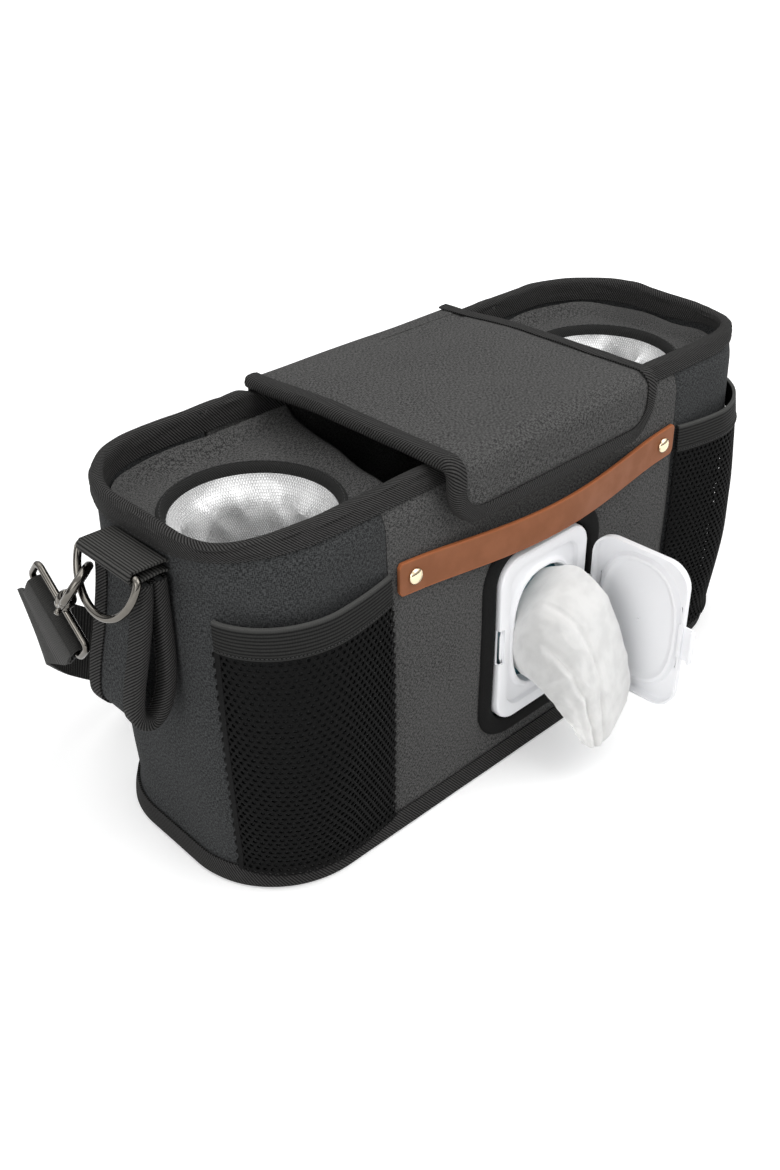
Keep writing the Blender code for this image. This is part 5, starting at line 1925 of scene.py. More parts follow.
@dataclass
class MeshPocket:
    """A spacer-mesh pocket round one front corner, with its elastic top."""

    form: BagForm
    end: End
    wrap: float = math.radians(62)
    belly: float = 8 * MM
    sag: float = 1.2 * MM
    skin: float = 1.5 * MM
    cell: float = 3.2 * MM
    strand: float = 1.1 * MM
    elastic: float = 14.5 * MM

    def __post_init__(self) -> None:
        """Read the pocket's height from the frame."""
        self.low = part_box(f"{self.end.side}_mesh_pocket")[0].z
        self.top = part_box(f"{self.end.side}_pocket_elastic")[1].z
        self.start = self.form.seam + 2 * GAP
        self.width = (self.form.half_x - self.form.corner - self.start
                      + self.wrap * self.form.corner)

    def place(self, distance: float, height: float, proud: float = 0.0) -> Vector:
        """Place on the pocket's outer face.

        Args:
            distance: Distance from the front seam.
            height: Height of the place.
            proud: How far it stands out of the face.

        Returns:
            The place, on this pocket's side.
        """
        place, normal = self.form.at(self.start + distance)
        share = min(max(distance / self.width, 0), 1)
        full = math.sin(math.pi * share) ** 0.8
        rise = (height - 0.01) / (self.top - 0.01)
        belly = self.belly * full * (0.3 + 0.7 * math.sin(math.pi * (0.1 + 0.82 * rise)))
        belly += 0.9 * MM * ripple(distance, height, 0.03, 6.0) * full
        spot = place + normal * (self.form.swell(height) + GAP + self.skin + belly + proud)
        return Vector((self.end.value * spot.x, spot.y, height - self.dip(share) * rise))

    def dip(self, share: float) -> float:
        """How far the top sags at a share of the pocket's width."""
        return self.sag * math.sin(math.pi * share) ** 0.8

    def build_net(self) -> None:
        """Build the mesh as a sheet of six-sided holes."""
        bm = bmesh.new()
        flat = bm.loops.layers.uv.new("flat")
        reach, rise = self.width, self.top - self.elastic + 1.5 * MM - self.low
        radius = self.cell / math.sqrt(3)
        rows = int(rise / (1.5 * radius))
        columns = int(reach / self.cell)
        for row in range(rows + 1):
            for column in range(columns + 1):
                x = self.cell * (column + 0.5 * (row % 2))
                z = 1.5 * radius * row
                corners = []
                for size in (radius, 0.56 * radius):
                    for k in range(6):
                        angle = math.radians(30 + 60 * k)
                        a = min(max(x + size * math.cos(angle), 0), reach)
                        b = min(max(z + size * math.sin(angle), 0), rise)
                        corners.append((a, b, size < radius))
                verts = [bm.verts.new(self.place(a, self.low + b, -0.35 * MM if inner else 0))
                         for a, b, inner in corners]
                for k in range(6):
                    after = (k + 1) % 6
                    ids = (k, after, 6 + after, 6 + k)
                    face = bm.faces.new([verts[i] for i in ids])
                    for loop, i in zip(face.loops, ids):
                        loop[flat].uv = corners[i][:2]
        bmesh.ops.remove_doubles(bm, verts=bm.verts, dist=2e-5)
        bmesh.ops.dissolve_degenerate(bm, edges=bm.edges, dist=1e-5)
        if self.end is End.LEFT:
            bmesh.ops.reverse_faces(bm, faces=bm.faces)
        piece = from_bmesh(f"{self.end.side}_pocket_net", bm)
        thicken(piece, self.strand, even=False)
        bake(piece)
        dress(smooth(piece, 70), Cloth.MESH,
              nodes=(f"{self.end.side}_mesh_pocket",))

    def strip(self, name: str, low: float, high: float, start: float, end: float,
              proud: float, thickness: float, cells: tuple[int, int]) -> bpy.types.Object:
        """A strip of cloth on the pocket's face.

        Args:
            name: Name of the piece.
            low: Its lower edge.
            high: Its upper edge.
            start: Its start, from the front seam.
            end: Its end, from the front seam.
            proud: How far it stands out of the face.
            thickness: Its thickness.
            cells: Its stretches along and up.

        Returns:
            The piece.
        """
        left = self.end is End.LEFT

        def surface(u: float, v: float) -> Vector:
            """Place on the strip, along and up."""
            share = 1 - u if left else u
            return self.place(start + (end - start) * share, low + (high - low) * v, proud)

        return Sheet(name, surface, cells, (end - start, high - low), thickness).build()

    def build(self) -> None:
        """Build the net, the elastic, the turned edge and the stitches."""
        self.build_net()
        joint = self.top - self.elastic
        band = self.strip(f"{self.end.side}_elastic_band", joint, self.top, 0, self.width,
                          0.35 * MM, 1.7 * MM, (60, 10))
        dress(band, Cloth.ELASTIC,
              nodes=(f"{self.end.side}_pocket_elastic",))
        edge = self.strip(f"{self.end.side}_pocket_edge", self.low, joint, self.width - 2.5 * MM,
                          self.width, 0.1 * MM, 1.5 * MM, (4, 40))
        dress(edge, Cloth.WINDOW_TAPE)
        row = []
        for step in range(81):
            distance = self.width * step / 80
            spot = self.place(distance, joint + 1.4 * MM, 0.55 * MM)
            normal = self.form.at(self.start + distance)[1]
            row.append((spot, Vector((self.end.value * normal.x, normal.y, 0))))
        Stitches(f"{self.end.side}_elastic_stitches", row, pitch=1.7 * MM, length=1.0 * MM,
                 radius=0.25 * MM).sew()


# Leather strap


@dataclass
class LeatherStrap:
    """The tan strap across the front and its two rivets."""

    form: BagForm
    thick: float = 2 * MM
    width: float = 16.5 * MM
    drop: float = 5 * MM
    bow: float = 7 * MM
    rivet_head: float = 4 * MM

    def __post_init__(self) -> None:
        """Read the strap's place from the frame."""
        low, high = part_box("leather_strap")
        self.half = high.x
        self.level = high.z - self.width / 2
        low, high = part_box("right_rivet")
        self.rivet_x = (low.x + high.x) / 2
        self.rivet_z = (low.z + high.z) / 2

    def build(self) -> None:
        """Build the strap and the rivets."""
        half_w = self.width / 2
        wall = self.form.front_y(self.level)

        def surface(u: float, v: float) -> Vector:
            """Place on the strap, along and up."""
            share = 2 * u - 1
            bow = math.cos(math.pi / 2 * min(abs(share) / 0.86, 1)) ** 1.5
            level = self.level - self.drop * (1 - share * share)
            across = 2 * v - 1
            corner = 2.2 * MM
            from_end = (1 - abs(share)) * self.half
            trim = corner - math.sqrt(max(corner ** 2 - max(corner - from_end, 0) ** 2, 0))
            x = self.half * share
            curl = 0.5 * MM * across * across
            off = -self.thick - GAP - self.bow * bow + curl * bow
            return Vector((x, wall + off, level + (half_w - trim) * across))

        piece = Sheet("leather_band", surface, (150, 12), (2 * self.half, self.width),
                      self.thick).build()
        soften(piece, 0.35 * MM)
        bake(piece)
        dress(smooth(piece), Cloth.LEATHER, nodes=("leather_strap",))
        head = self.rivet_head
        base = self.thick + 2 * GAP
        for end in End:
            dome = [(head * math.sin(math.radians(a)),
                     base + 2.1 * MM * math.cos(math.radians(a))) for a in range(0, 91, 9)]
            profile = [*dome, (head - 0.3 * MM, base - 0.1 * MM), (1.5 * MM, base - 0.1 * MM),
                       (1.5 * MM, -4 * MM), (head, -4 * MM), (head, -5 * MM), (0, -5 * MM)]
            rivet = lathe(f"{end.side}_rivet_dome", profile, 40)
            rivet.matrix_world = Matrix.Translation((end.value * self.rivet_x, wall,
                                                     self.rivet_z)) @ Matrix.Rotation(
                math.radians(90), 4, "X")
            dress(rivet, Cloth.GOLD, nodes=(f"{end.side}_rivet",))


# Wipes dispenser


def oval(half_w: float, half_h: float, outline: list[Edge]) -> list[Vector]:
    """An oval with one point for each point of an outline, in the same directions.

    Args:
        half_w: Half its width.
        half_h: Half its height.
        outline: Closed outline round the same centre.

    Returns:
        Points of the oval.
    """
    points = []
    for place, _ in outline:
        angle = math.atan2(place.z / half_h, place.x / half_w)
        c, s = math.cos(angle), math.sin(angle)
        points.append(Vector((math.copysign(abs(c) ** 0.8, c) * half_w, 0,
                              math.copysign(abs(s) ** 0.8, s) * half_h)))
    return points


def raised(points: list[Vector], depth: float) -> list[Vector]:
    """The same loop at a depth along Y."""
    return [point + Vector((0, depth, 0)) for point in points]


def inward(outline: list[Edge], inset: float, depth: float) -> list[Vector]:
    """An outline drawn in by an inset, at a depth along Y."""
    return [place - out * inset + Vector((0, depth, 0)) for place, out in outline]


@dataclass
class Dispenser:
    """The wipes dispenser in the window: facing, frame, flip lid, pack and wipe."""

    form: BagForm
    half_w: float = 31.7 * MM
    corner: float = 13 * MM
    flange: float = 7 * MM
    step: float = 2.4 * MM
    skin: float = 1.2 * MM
    mouth: tuple[float, float] = (21 * MM, 33 * MM)
    lid_size: tuple[float, float] = (26.75 * MM, 41 * MM)
    lid_corner: float = 12 * MM
    lid_depth: float = 4 * MM
    seal: tuple[float, float] = (23 * MM, 35 * MM)
    reach: float = 2.6 * MM
    web: float = 32 * MM
    latch: float = 19 * MM
    opened: float = math.radians(91)

    def __post_init__(self) -> None:
        """Read the dispenser's place from the frame."""
        low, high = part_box("wipes_frame")
        self.face, self.back = low.y, high.y
        self.half_h = (high.z - low.z) / 2
        self.z = (high.z + low.z) / 2
        self.left = low.x
        self.x = low.x + self.half_w
        self.hinge_x = self.x + self.half_w + self.reach / 2
        self.hinge_y = self.face - 1.05 * MM

    def loops(self, name: str, loops: list[list[Vector]], skin: float,
              rounding: float) -> bpy.types.Object:
        """A moulded shell through closed loops, from its back edge inwards.

        Args:
            name: Name of the piece.
            loops: Loops with as many points each.
            skin: Its thickness.
            rounding: Radius of its edges.

        Returns:
            The shell.
        """
        def surface(u: float, v: float) -> Vector:
            """Place on the shell, round it and inwards."""
            loop = loops[round(v * (len(loops) - 1))]
            return loop[round(u * (len(loop) - 1)) % (len(loop) - 1)]

        piece = Sheet(name, surface, (len(loops[0]) - 1, len(loops) - 1), (0.3, 0.05), skin,
                      closed=True).build()
        if rounding:
            soften(piece, rounding, 3, 25)
            bake(piece)
        return piece

    def build_facing(self) -> None:
        """Build the tape round the window."""
        low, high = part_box("window_facing")
        centre, lap = (low + high) / 2, TAPE + GAP
        outline = rounded((high.x - low.x) / 2 - WINDOW_LAP, (high.z - low.z) / 2 - WINDOW_LAP,
                          WINDOW_CORNER, 12)
        line = section([(WINDOW_LAP, -0.35 * MM), (WINDOW_LAP - 0.8 * MM, -lap),
                        (WINDOW_LAP / 2, -lap - 0.5 * MM), (0.2 * MM, -lap - 0.2 * MM),
                        (-lap, 0.4 * MM), (-lap, WALL + 0.2 * MM),
                        (-lap + 0.8 * MM, WALL + lap), (WINDOW_LAP, WALL + lap)], 5, 22)

        def surface(u: float, v: float) -> Vector:
            """Place on the tape, round the window and across it."""
            place, out = outline[round(u * (len(outline) - 1)) % (len(outline) - 1)]
            spot = sample(line, v)
            x = centre.x + place.x + out.x * spot.x
            z = centre.z + place.z + out.z * spot.x
            return Vector((x, self.form.front_y(z) + spot.y, z))

        piece = Sheet("window_tape", surface, (len(outline) - 1, 22), (0.33, 0.026), TAPE,
                      closed=True).build()
        dress(piece, Cloth.WINDOW_TAPE, nodes=("window_facing",))

    def build_frame(self) -> None:
        """Build the moulded frame with its recess, mouth, latch notch and hinge lug."""
        outline = rounded(self.half_w, self.half_h, self.corner, 12)
        face, floor = self.face, self.face + self.step
        recess = rounded(self.half_w - self.flange, self.half_h - self.flange,
                         self.corner - 0.5 * self.flange, 12)
        mouth_w, mouth_h = self.mouth
        ring = 2.8 * MM
        loops = [inward(outline, 0, self.back), inward(outline, 0, face + 1.6 * MM),
                 inward(outline, 0.35 * MM, face + 0.6 * MM), inward(outline, 1.2 * MM, face),
                 inward(recess, -0.6 * MM, face), inward(recess, 0.1 * MM, face + 0.4 * MM),
                 inward(recess, 1 * MM, floor - 0.2 * MM), inward(recess, 1.6 * MM, floor),
                 raised(oval(mouth_w + ring + 0.8 * MM, mouth_h + ring + 0.8 * MM, outline),
                        floor),
                 raised(oval(mouth_w + ring, mouth_h + ring, outline), floor - 0.4 * MM),
                 raised(oval(mouth_w + 0.6 * ring, mouth_h + 0.6 * ring, outline),
                        face + 0.5 * MM),
                 raised(oval(mouth_w + 0.2 * ring, mouth_h + 0.2 * ring, outline),
                        face + 0.5 * MM),
                 raised(oval(mouth_w, mouth_h, outline), face + 1 * MM),
                 raised(oval(mouth_w, mouth_h, outline), self.back - self.skin)]
        place = Vector((self.x, 0, self.z))
        loops = [[point + place for point in loop] for loop in loops]
        piece = self.loops("dispenser_frame", loops, self.skin, 0)
        subtract(piece, block("notch", (7.2 * MM, 5.2 * MM, self.latch + 1 * MM),
                              (self.left, face, self.z), 0.3 * MM))
        start, end = self.x + self.half_w - 2 * MM, self.hinge_x - 1.4 * MM
        lug = block("hinge_lug", (end - start, 1.2 * MM, self.web),
                    ((start + end) / 2, face + 0.7 * MM, self.z), 0.3 * MM)
        piece = unite("dispenser_frame", [piece, lug])
        dress(smooth(piece, 30), Cloth.PLASTIC, nodes=("wipes_frame",))

    def build_lid(self) -> None:
        """Build the flip lid, shut over the frame and then turned open."""
        half_w, half_h = self.lid_size
        outline = rounded(half_w, half_h, self.lid_corner, 12)
        back = -self.lid_depth
        seal_w, seal_h = self.seal
        flip = [(Vector((-place.x, 0, place.z)), Vector((-out.x, 0, out.z)))
                for place, out in outline]

        def ring(grow: float, depth: float) -> list[Vector]:
            """An oval of the seal at a depth."""
            return raised(oval(seal_w + grow, seal_h + grow, flip), depth)

        loops = [inward(flip, 0, 0), inward(flip, 0, back + 1.4 * MM),
                 inward(flip, 0.4 * MM, back + 0.5 * MM), inward(flip, 1.4 * MM, back),
                 inward(flip, 2.4 * MM, back), ring(2.6 * MM, back), ring(1.9 * MM, back),
                 ring(1.2 * MM, back + 0.7 * MM), ring(0.3 * MM, back + 1.7 * MM),
                 ring(-1.2 * MM, back + 1.7 * MM), ring(-2.3 * MM, back + 0.9 * MM),
                 ring(-3.2 * MM, back + 0.3 * MM), ring(-4.5 * MM, back),
                 raised(oval(seal_w * 0.45, seal_h * 0.45, flip), back - 0.3 * MM),
                 raised(oval(0.02 * seal_w, 0.02 * seal_h, flip), back - 0.35 * MM)]
        shell = self.loops("lid_shell", loops, 1.1 * MM, 0)
        shift = Matrix.Translation((-self.reach - half_w, 0.55 * MM, 0))
        shell.data.transform(shift)
        far = -self.reach - 2 * half_w
        bars = [block("latch_tab", (9 * MM, 1.1 * MM, self.latch),
                      (far - 2.5 * MM, back + 2.45 * MM, 0), 0.3 * MM),
                block("latch_hook", (1.5 * MM, 3.4 * MM, self.latch),
                      (far - 6.3 * MM, back + 3.55 * MM, 0), 0.5 * MM),
                block("hinge_web", (4.1 * MM, 0.8 * MM, self.web - 2 * MM), (-1.3 * MM, 0, 0),
                      0.3 * MM)]
        piece = unite("dispenser_lid", [shell, *bars])
        turn = Matrix.Translation((self.hinge_x, self.hinge_y, self.z)) @ Matrix.Rotation(
            self.opened, 4, "Z")
        piece.data.transform(turn)
        dress(smooth(piece, 30), Cloth.PLASTIC, body="wipes_lid",
              nodes=("wipes_lid",))

    def build_pack(self) -> None:
        """Build the film pack behind the window, crimped at its top, and its lining pocket."""
        low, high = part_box("wipes_pack")
        size, centre = high - low, (low + high) / 2

        def surface(u: float, v: float) -> Vector:
            """Place on the film, round it and up."""
            angle = 2 * math.pi * u
            c, s = math.cos(angle), math.sin(angle)
            x = math.copysign(abs(c) ** 0.35, c) * size.x / 2
            y = math.copysign(abs(s) ** 0.35, s) * size.y / 2
            rise = 2 * v - 1
            slim = (1 - abs(rise) ** 5) ** 0.5
            crease = 1 - 0.05 * ridge(x + y, rise * size.z / 2, 0.018, 2.0)
            return Vector((centre.x + x * (0.93 + 0.07 * slim),
                           centre.y + y * max(slim, 0.03) * crease,
                           centre.z + rise * size.z / 2))

        piece = Sheet("film_pack", surface, (96, 48), (0.27, 0.14), 0, closed=True).build()
        with editing(piece) as bm:
            bmesh.ops.holes_fill(bm, edges=bm.edges)
        dress(smooth(piece), Cloth.FILM, nodes=("wipes_pack",))
        low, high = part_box("wipes_pocket")
        turn = 6 * MM
        plan = [(low.x, low.y), (low.x, high.y - turn),
                (low.x + 0.3 * turn, high.y - 0.3 * turn), (low.x + turn, high.y),
                (high.x - turn, high.y), (high.x - 0.3 * turn, high.y - 0.3 * turn),
                (high.x, high.y - turn), (high.x, low.y)]
        line = even_line([Vector((x, y, 0)) for x, y in plan], 90)

        def lining(u: float, v: float) -> Vector:
            """Place on the lining, round its three sides and up."""
            spot = sample(line, 1 - u)
            dip = 3 * MM * math.sin(math.pi * u) * v
            return Vector((spot.x, spot.y, low.z + (high.z - low.z) * v - dip))

        cloth = Sheet("pocket_lining", lining, (90, 20), (0.17, 0.11), 1.2 * MM).build()
        dress(cloth, Cloth.LINING, nodes=("wipes_pocket",))

    def build_wipe(self) -> None:
        """Build the wipe that fills the mouth and droops out of it as one broad sheet."""
        edges = (((-13, 6.7, 50), (-15, 0.5, 50), (-16, -11, 49), (-17, -22, 45),
                  (-17.5, -30, 41), (-18, -35, 38), (-17, -37.5, 34)),
                 ((-20, 6.7, 78), (-20.5, 0, 82), (-21, -13, 92), (-17, -30, 86),
                  (-9, -39, 62), (-4, -40.5, 38), (-1, -41, 20)),
                 ((3, 6.7, 101), (7, 0, 103.5), (13.5, -10, 104), (20.5, -22, 89),
                  (25, -31.5, 62), (26, -36.5, 46), (22, -39, 34)))
        left, ridge_line, right = (
            even_line(smooth_line([Vector((x * MM, self.face + y * MM, z * MM))
                                   for x, y, z in edge], 10), 60) for edge in edges)
        length = line_lengths(ridge_line)[-1]
        outward = Vector((-0.35, -0.8, 0.48)).normalized()

        def surface(u: float, v: float) -> Vector:
            """Place on the wipe, across and from mouth to end."""
            first, middle, last = (sample(line, v) for line in (left, ridge_line, right))
            control = 2 * middle - (first + last) / 2
            place = (first * (1 - u) ** 2 + control * 2 * u * (1 - u) + last * u ** 2)
            free = ease(v * 5)
            crease = -2.4 * MM * math.exp(-((u - 0.30 - 0.12 * v) / 0.035) ** 2)
            crease -= 1.8 * MM * math.exp(-((u - 0.66 + 0.10 * v) / 0.03) ** 2)
            crease += 1.5 * MM * math.exp(-((u - 0.22 - 0.10 * v) / 0.05) ** 2)
            crumple = 2.2 * MM * (ridge(u * 0.08 + 0.02 * v, v * length, 0.024, 3.3) - 0.5)
            crumple += 0.8 * MM * (ridge(u * 0.08 - 0.02 * v, v * length, 0.012, 5.1) - 0.5)
            pleats = math.sin(2 * math.pi * (6 * u + 0.5 * math.sin(3 * v)))
            crumple += 0.3 * MM * pleats * ease(2.2 * v - 0.9)
            return place + outward * free * (crease + crumple)

        piece = Sheet("pulled_wipe", surface, (84, 110), (0.075, length), 0.35 * MM,
                      offset=0).build()
        dress(smooth(piece, 80), Cloth.WIPE, nodes=("wipe_sheet",))
        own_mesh(piece)

    def build(self) -> None:
        """Build the whole dispenser."""
        self.build_facing()
        self.build_frame()
        self.build_lid()
        self.build_pack()
        self.build_wipe()


# End hardware and straps


@dataclass
class EndHardware:
    """Webbing tab, D ring, stroller strap, snap hook and swivel eye at one end."""

    form: BagForm
    end: End
    tab_y: float = -3 * MM
    bar_out: float = 16.8 * MM
    bar_z: float = 166 * MM
    ring_wire: float = 3.5 * MM
    ring_inner: float = 39.5 * MM
    ring_limb: float = 2 * MM
    ring_lean: float = math.radians(21)
    hook_at: float = 38
    hook_tilt: float = math.radians(48)
    hook_turn: float = math.radians(-60)
    hook_play: float = 1.8 * MM
    hook_wire: float = 4 * MM
    hook_inner: tuple[float, float] = (15 * MM, 22 * MM)
    gate_wire: float = 3 * MM
    gate_from: float = 90
    gate_sweep: float = 61
    barrel: tuple[float, float] = (8.4 * MM, 8 * MM)
    stem: float = 3.2 * MM
    eye_wire: float = 3.2 * MM
    eye_depth: float = 13 * MM
    handle_width: float = 36 * MM
    handle_y: float = -4.8 * MM
    handle_thick: float = 3.4 * MM
    handle_tape: float = 9 * MM
    tab_thick: float = 1.1 * MM

    def __post_init__(self) -> None:
        """Work out the ring's and the hook's axes for the left end."""
        down = Vector((-math.sin(self.ring_lean), 0, -math.cos(self.ring_lean)))
        along = Vector((0, 1, 0))
        self.bar = Vector((-self.form.half_x - self.bar_out, self.tab_y, self.bar_z))
        self.ring_axes = self.axes(along, down, along.cross(down), self.bar)
        self.half_l = self.hook_inner[1] / 2 + self.hook_wire / 2
        line = Vector((0, math.cos(self.hook_tilt), -math.sin(self.hook_tilt)))
        level = Vector((0, math.sin(self.hook_tilt), math.cos(self.hook_tilt)))
        face = (Vector((1, 0, 0)) * math.cos(self.hook_turn) + level * math.sin(self.hook_turn))
        hang = self.hook_inner[1] / 2 - self.ring_wire / 2 - self.hook_play
        centre = self.ring_point(self.hook_at) + line * hang
        self.hook_line = line
        self.hook_axes = self.axes(line.cross(face), face, line, centre)
        self.barrel_low = self.half_l - self.hook_wire / 2 + 0.6 * MM
        self.near = self.barrel_low + self.barrel[1] + GAP + self.eye_wire / 2
        self.far = self.near + self.eye_depth
        self.eye_turn = Vector((1, 0, 0)).cross(line).normalized() * -1

    @staticmethod
    def axes(x: Vector, y: Vector, z: Vector, origin: Vector) -> Matrix:
        """Matrix with the given axes and origin.

        Args:
            x: First axis.
            y: Second axis.
            z: Third axis.
            origin: Place of the origin.

        Returns:
            The matrix.
        """
        matrix = Matrix.Identity(4)
        for column, axis in enumerate((x, y, z, origin)):
            for row in range(3):
                matrix[row][column] = axis[row]
        return matrix

    @property
    def side(self) -> str:
        """Name of this end."""
        return self.end.side

    def ring_point(self, angle: float) -> Vector:
        """Centre line of the ring's round part, from 0 at its back limb to 90 at its foot.

        Args:
            angle: Turn in degrees.

        Returns:
            The place, at the left end.
        """
        radius = self.ring_inner / 2 + self.ring_wire / 2
        turn = math.radians(angle)
        return self.ring_axes @ Vector((radius * math.cos(turn),
                                        self.ring_limb + radius * math.sin(turn), 0))

    def metal(self, piece: bpy.types.Object, body: str, node: str) -> None:
        """Dress a metal piece of this end."""
        dress(piece, Cloth.GUNMETAL, body=f"{self.side}_{body}",
              nodes=(f"{self.side}_{node}",))

    def build_ring(self) -> None:
        """Build the D ring."""
        radius = self.ring_inner / 2 + self.ring_wire / 2
        corner = 2.5 * MM
        local = [(-radius + corner, 0), (radius - corner, 0)]
        for step in range(1, 6):
            angle = math.radians(-90 + 18 * step)
            local.append((radius - corner + corner * math.cos(angle),
                          corner + corner * math.sin(angle)))
        points = [self.ring_axes @ Vector((x, y, 0)) for x, y in local]
        points += [self.ring_point(angle) for angle in range(0, 181, 5)]
        for step in range(0, 5):
            angle = math.radians(180 + 18 * step)
            points.append(self.ring_axes @ Vector((-radius + corner + corner * math.cos(angle),
                                                   corner + corner * math.sin(angle), 0)))
        spots = [self.end.flip(point) for point in points]
        self.metal(wire(f"{self.side}_ring_wire", spots, self.ring_wire / 2, 18, cyclic=True),
                   "ring", "d_ring")

    def hook_point(self, angle: float) -> Vector:
        """Centre line of the hook's loop, from 0 at its base towards its open side.

        Args:
            angle: Turn in degrees.

        Returns:
            The place, at the left end.
        """
        half_w = self.hook_inner[0] / 2 + self.hook_wire / 2
        turn = math.radians(angle)
        return self.hook_axes @ Vector((half_w * math.sin(turn), 0,
                                        self.half_l * math.cos(turn)))

    def along_hook(self, distance: float) -> Matrix:
        """Matrix at a distance along the hook's axis, for this end.

        Args:
            distance: Distance from the loop's centre.

        Returns:
            The matrix.
        """
        matrix = self.hook_axes @ Matrix.Translation((0, 0, distance))
        if self.end is End.LEFT:
            return matrix
        flip = Matrix.Diagonal((-1, 1, 1, 1))
        return flip @ matrix @ flip

    def build_hook(self) -> None:
        """Build the snap hook's body, with its nose swelled and its barrel ringed."""
        angles = [-4 - 258 * step / 52 for step in range(53)]
        spots = [self.end.flip(self.hook_point(angle)) for angle in angles]
        radius = self.hook_wire / 2
        sizes = [radius * (1.12 - 0.22 * ease((abs(angle) - 60) / 200)) for angle in angles]
        body = wire("hook_loop", spots, sizes, 18)
        wide, long = self.barrel[0] / 2, self.barrel[1]
        profile = [(self.stem / 2 + GAP, long), (wide - 0.8 * MM, long), (wide, long - 0.7 * MM),
                   (wide, 0.72 * long), (wide - 0.5 * MM, 0.66 * long),
                   (wide - 0.5 * MM, 0.58 * long), (wide, 0.52 * long), (wide, 0.2 * long),
                   (wide - 1.1 * MM, 0), (self.stem / 2 + GAP, 0),
                   (self.stem / 2 + GAP, long)]
        barrel = lathe("hook_barrel", profile, 40)
        barrel.matrix_world = self.along_hook(self.barrel_low)
        self.metal(unite(f"{self.side}_hook_body", [body, barrel]), "ring", "hook")
        arc = [self.end.flip(self.hook_point(self.gate_from - self.gate_sweep * step / 14))
               for step in range(15)]
        gate = wire("gate_bar", arc, self.gate_wire / 2, 16)
        outward = self.hook_axes.to_3x3() @ Vector((1, 0, 0))
        knob_at = self.hook_point(62) + outward * 1.6 * MM
        knob = wire("gate_knob", [self.end.flip(knob_at - outward * 1.2 * MM),
                                  self.end.flip(knob_at + outward * 1.4 * MM)], 1.3 * MM, 14)
        self.metal(unite(f"{self.side}_gate_lever", [gate, knob]), "gate", "hook_gate")

    def build_eye(self) -> None:
        """Build the swivel eye with its stem."""
        half = WEBBING / 2 + 1 * MM + self.eye_wire / 2
        corner = 3 * MM
        local = []
        for x_sign, z, turn in ((1, self.near, -90), (1, self.far, 0), (-1, self.far, 90),
                                (-1, self.near, 180)):
            inward_z = corner if z == self.near else -corner
            for step in range(7):
                angle = math.radians(turn + 15 * step)
                local.append((x_sign * (half - corner) + corner * math.cos(angle),
                              z + inward_z + corner * math.sin(angle)))
        origin, line = self.hook_axes.translation, self.hook_line
        spots = [self.end.flip(origin + line * z + self.eye_turn * x) for x, z in local]
        eye = wire("eye_frame", spots, self.eye_wire / 2, 16, cyclic=True)
        low = self.barrel_low - 3 * MM
        stem = lathe("eye_stem", [(0, self.near - low), (self.stem / 2, self.near - low),
                                  (self.stem / 2, 1.3 * MM), (2.7 * MM, 1.2 * MM),
                                  (2.7 * MM, 0.3 * MM), (2.3 * MM, 0), (0, 0)], 28)
        stem.matrix_world = self.along_hook(low)
        self.metal(unite(f"{self.side}_eye_swivel", [eye, stem]), "eye", "swivel_eye")

    def strip(self, name: str, line: list[Vector], half: float, thick: float,
              rows: int = 8) -> bpy.types.Object:
        """Flat webbing along a line, as wide as half each way along Y.

        Args:
            name: Name of the piece.
            line: Its middle line.
            half: Half its width.
            thick: Its thickness.
            rows: Stretches across it.

        Returns:
            The webbing.
        """
        length = line_lengths(line)[-1]

        def surface(u: float, v: float) -> Vector:
            """Place on the webbing, along and across."""
            spot = sample(line, u)
            edge = 2 * v - 1
            return self.end.flip(spot + Vector((0, half * edge, 0)))

        piece = Sheet(name, surface, (len(line) - 1, rows), (length, 2 * half), thick,
                      offset=0).build()
        soften(piece, 0.35 * MM)
        bake(piece)
        return smooth(piece)

    def build_tab(self) -> None:
        """Build the webbing tab that carries the ring."""
        thick = self.tab_thick
        top = self.form.height - self.form.rim_band - GAP - thick / 2
        root = -self.form.half_x - self.form.swell(self.bar_z) - GAP - thick / 2
        turn = self.ring_wire / 2 + GAP + thick / 2
        wrap = [Vector((self.bar.x - turn * math.sin(math.radians(a)), self.tab_y,
                        self.bar_z + turn * math.cos(math.radians(a))))
                for a in range(0, 181, 20)]
        start = [Vector((root, self.tab_y, top - 1.2 * MM)),
                 Vector((root - 2 * MM, self.tab_y, top))]
        low = self.bar_z - turn
        end = [Vector((root - 4 * MM, self.tab_y, low + 0.6 * MM)),
               Vector((root, self.tab_y, low - 0.4 * MM))]
        line = even_line(smooth_line([*start, *wrap, *end], 4), 70)
        dress(self.strip(f"{self.side}_tab_webbing", line, WEBBING / 2, thick),
              Cloth.WEBBING, nodes=(f"{self.side}_webbing_tab",))

    def handle_line(self) -> list[Vector]:
        """Side view of the stroller strap, down the wall, round the bottom and up outside.

        Returns:
            Evenly spaced points, at the left end.
        """
        wall = -self.form.half_x - self.form.swell(90 * MM)
        inner = wall - 3 * GAP - TAPE - self.handle_thick / 2
        top = self.bar_z - self.ring_wire / 2 - 2 * GAP - WEBBING_THICK - 1.6 * MM
        outs = [(0, 0), (-0.1, -20), (-0.5, -38), (-2.2, -52), (-6.5, -62.5), (-12.8, -66.5),
                (-18.5, -61), (-17, -48), (-13, -33), (-9.4, -18), (-7.2, -6), (-6.8, 0)]
        points = [Vector((inner + out * MM, self.handle_y, top + drop * MM))
                  for out, drop in outs]
        return even_line(smooth_line(points, 8), 110)

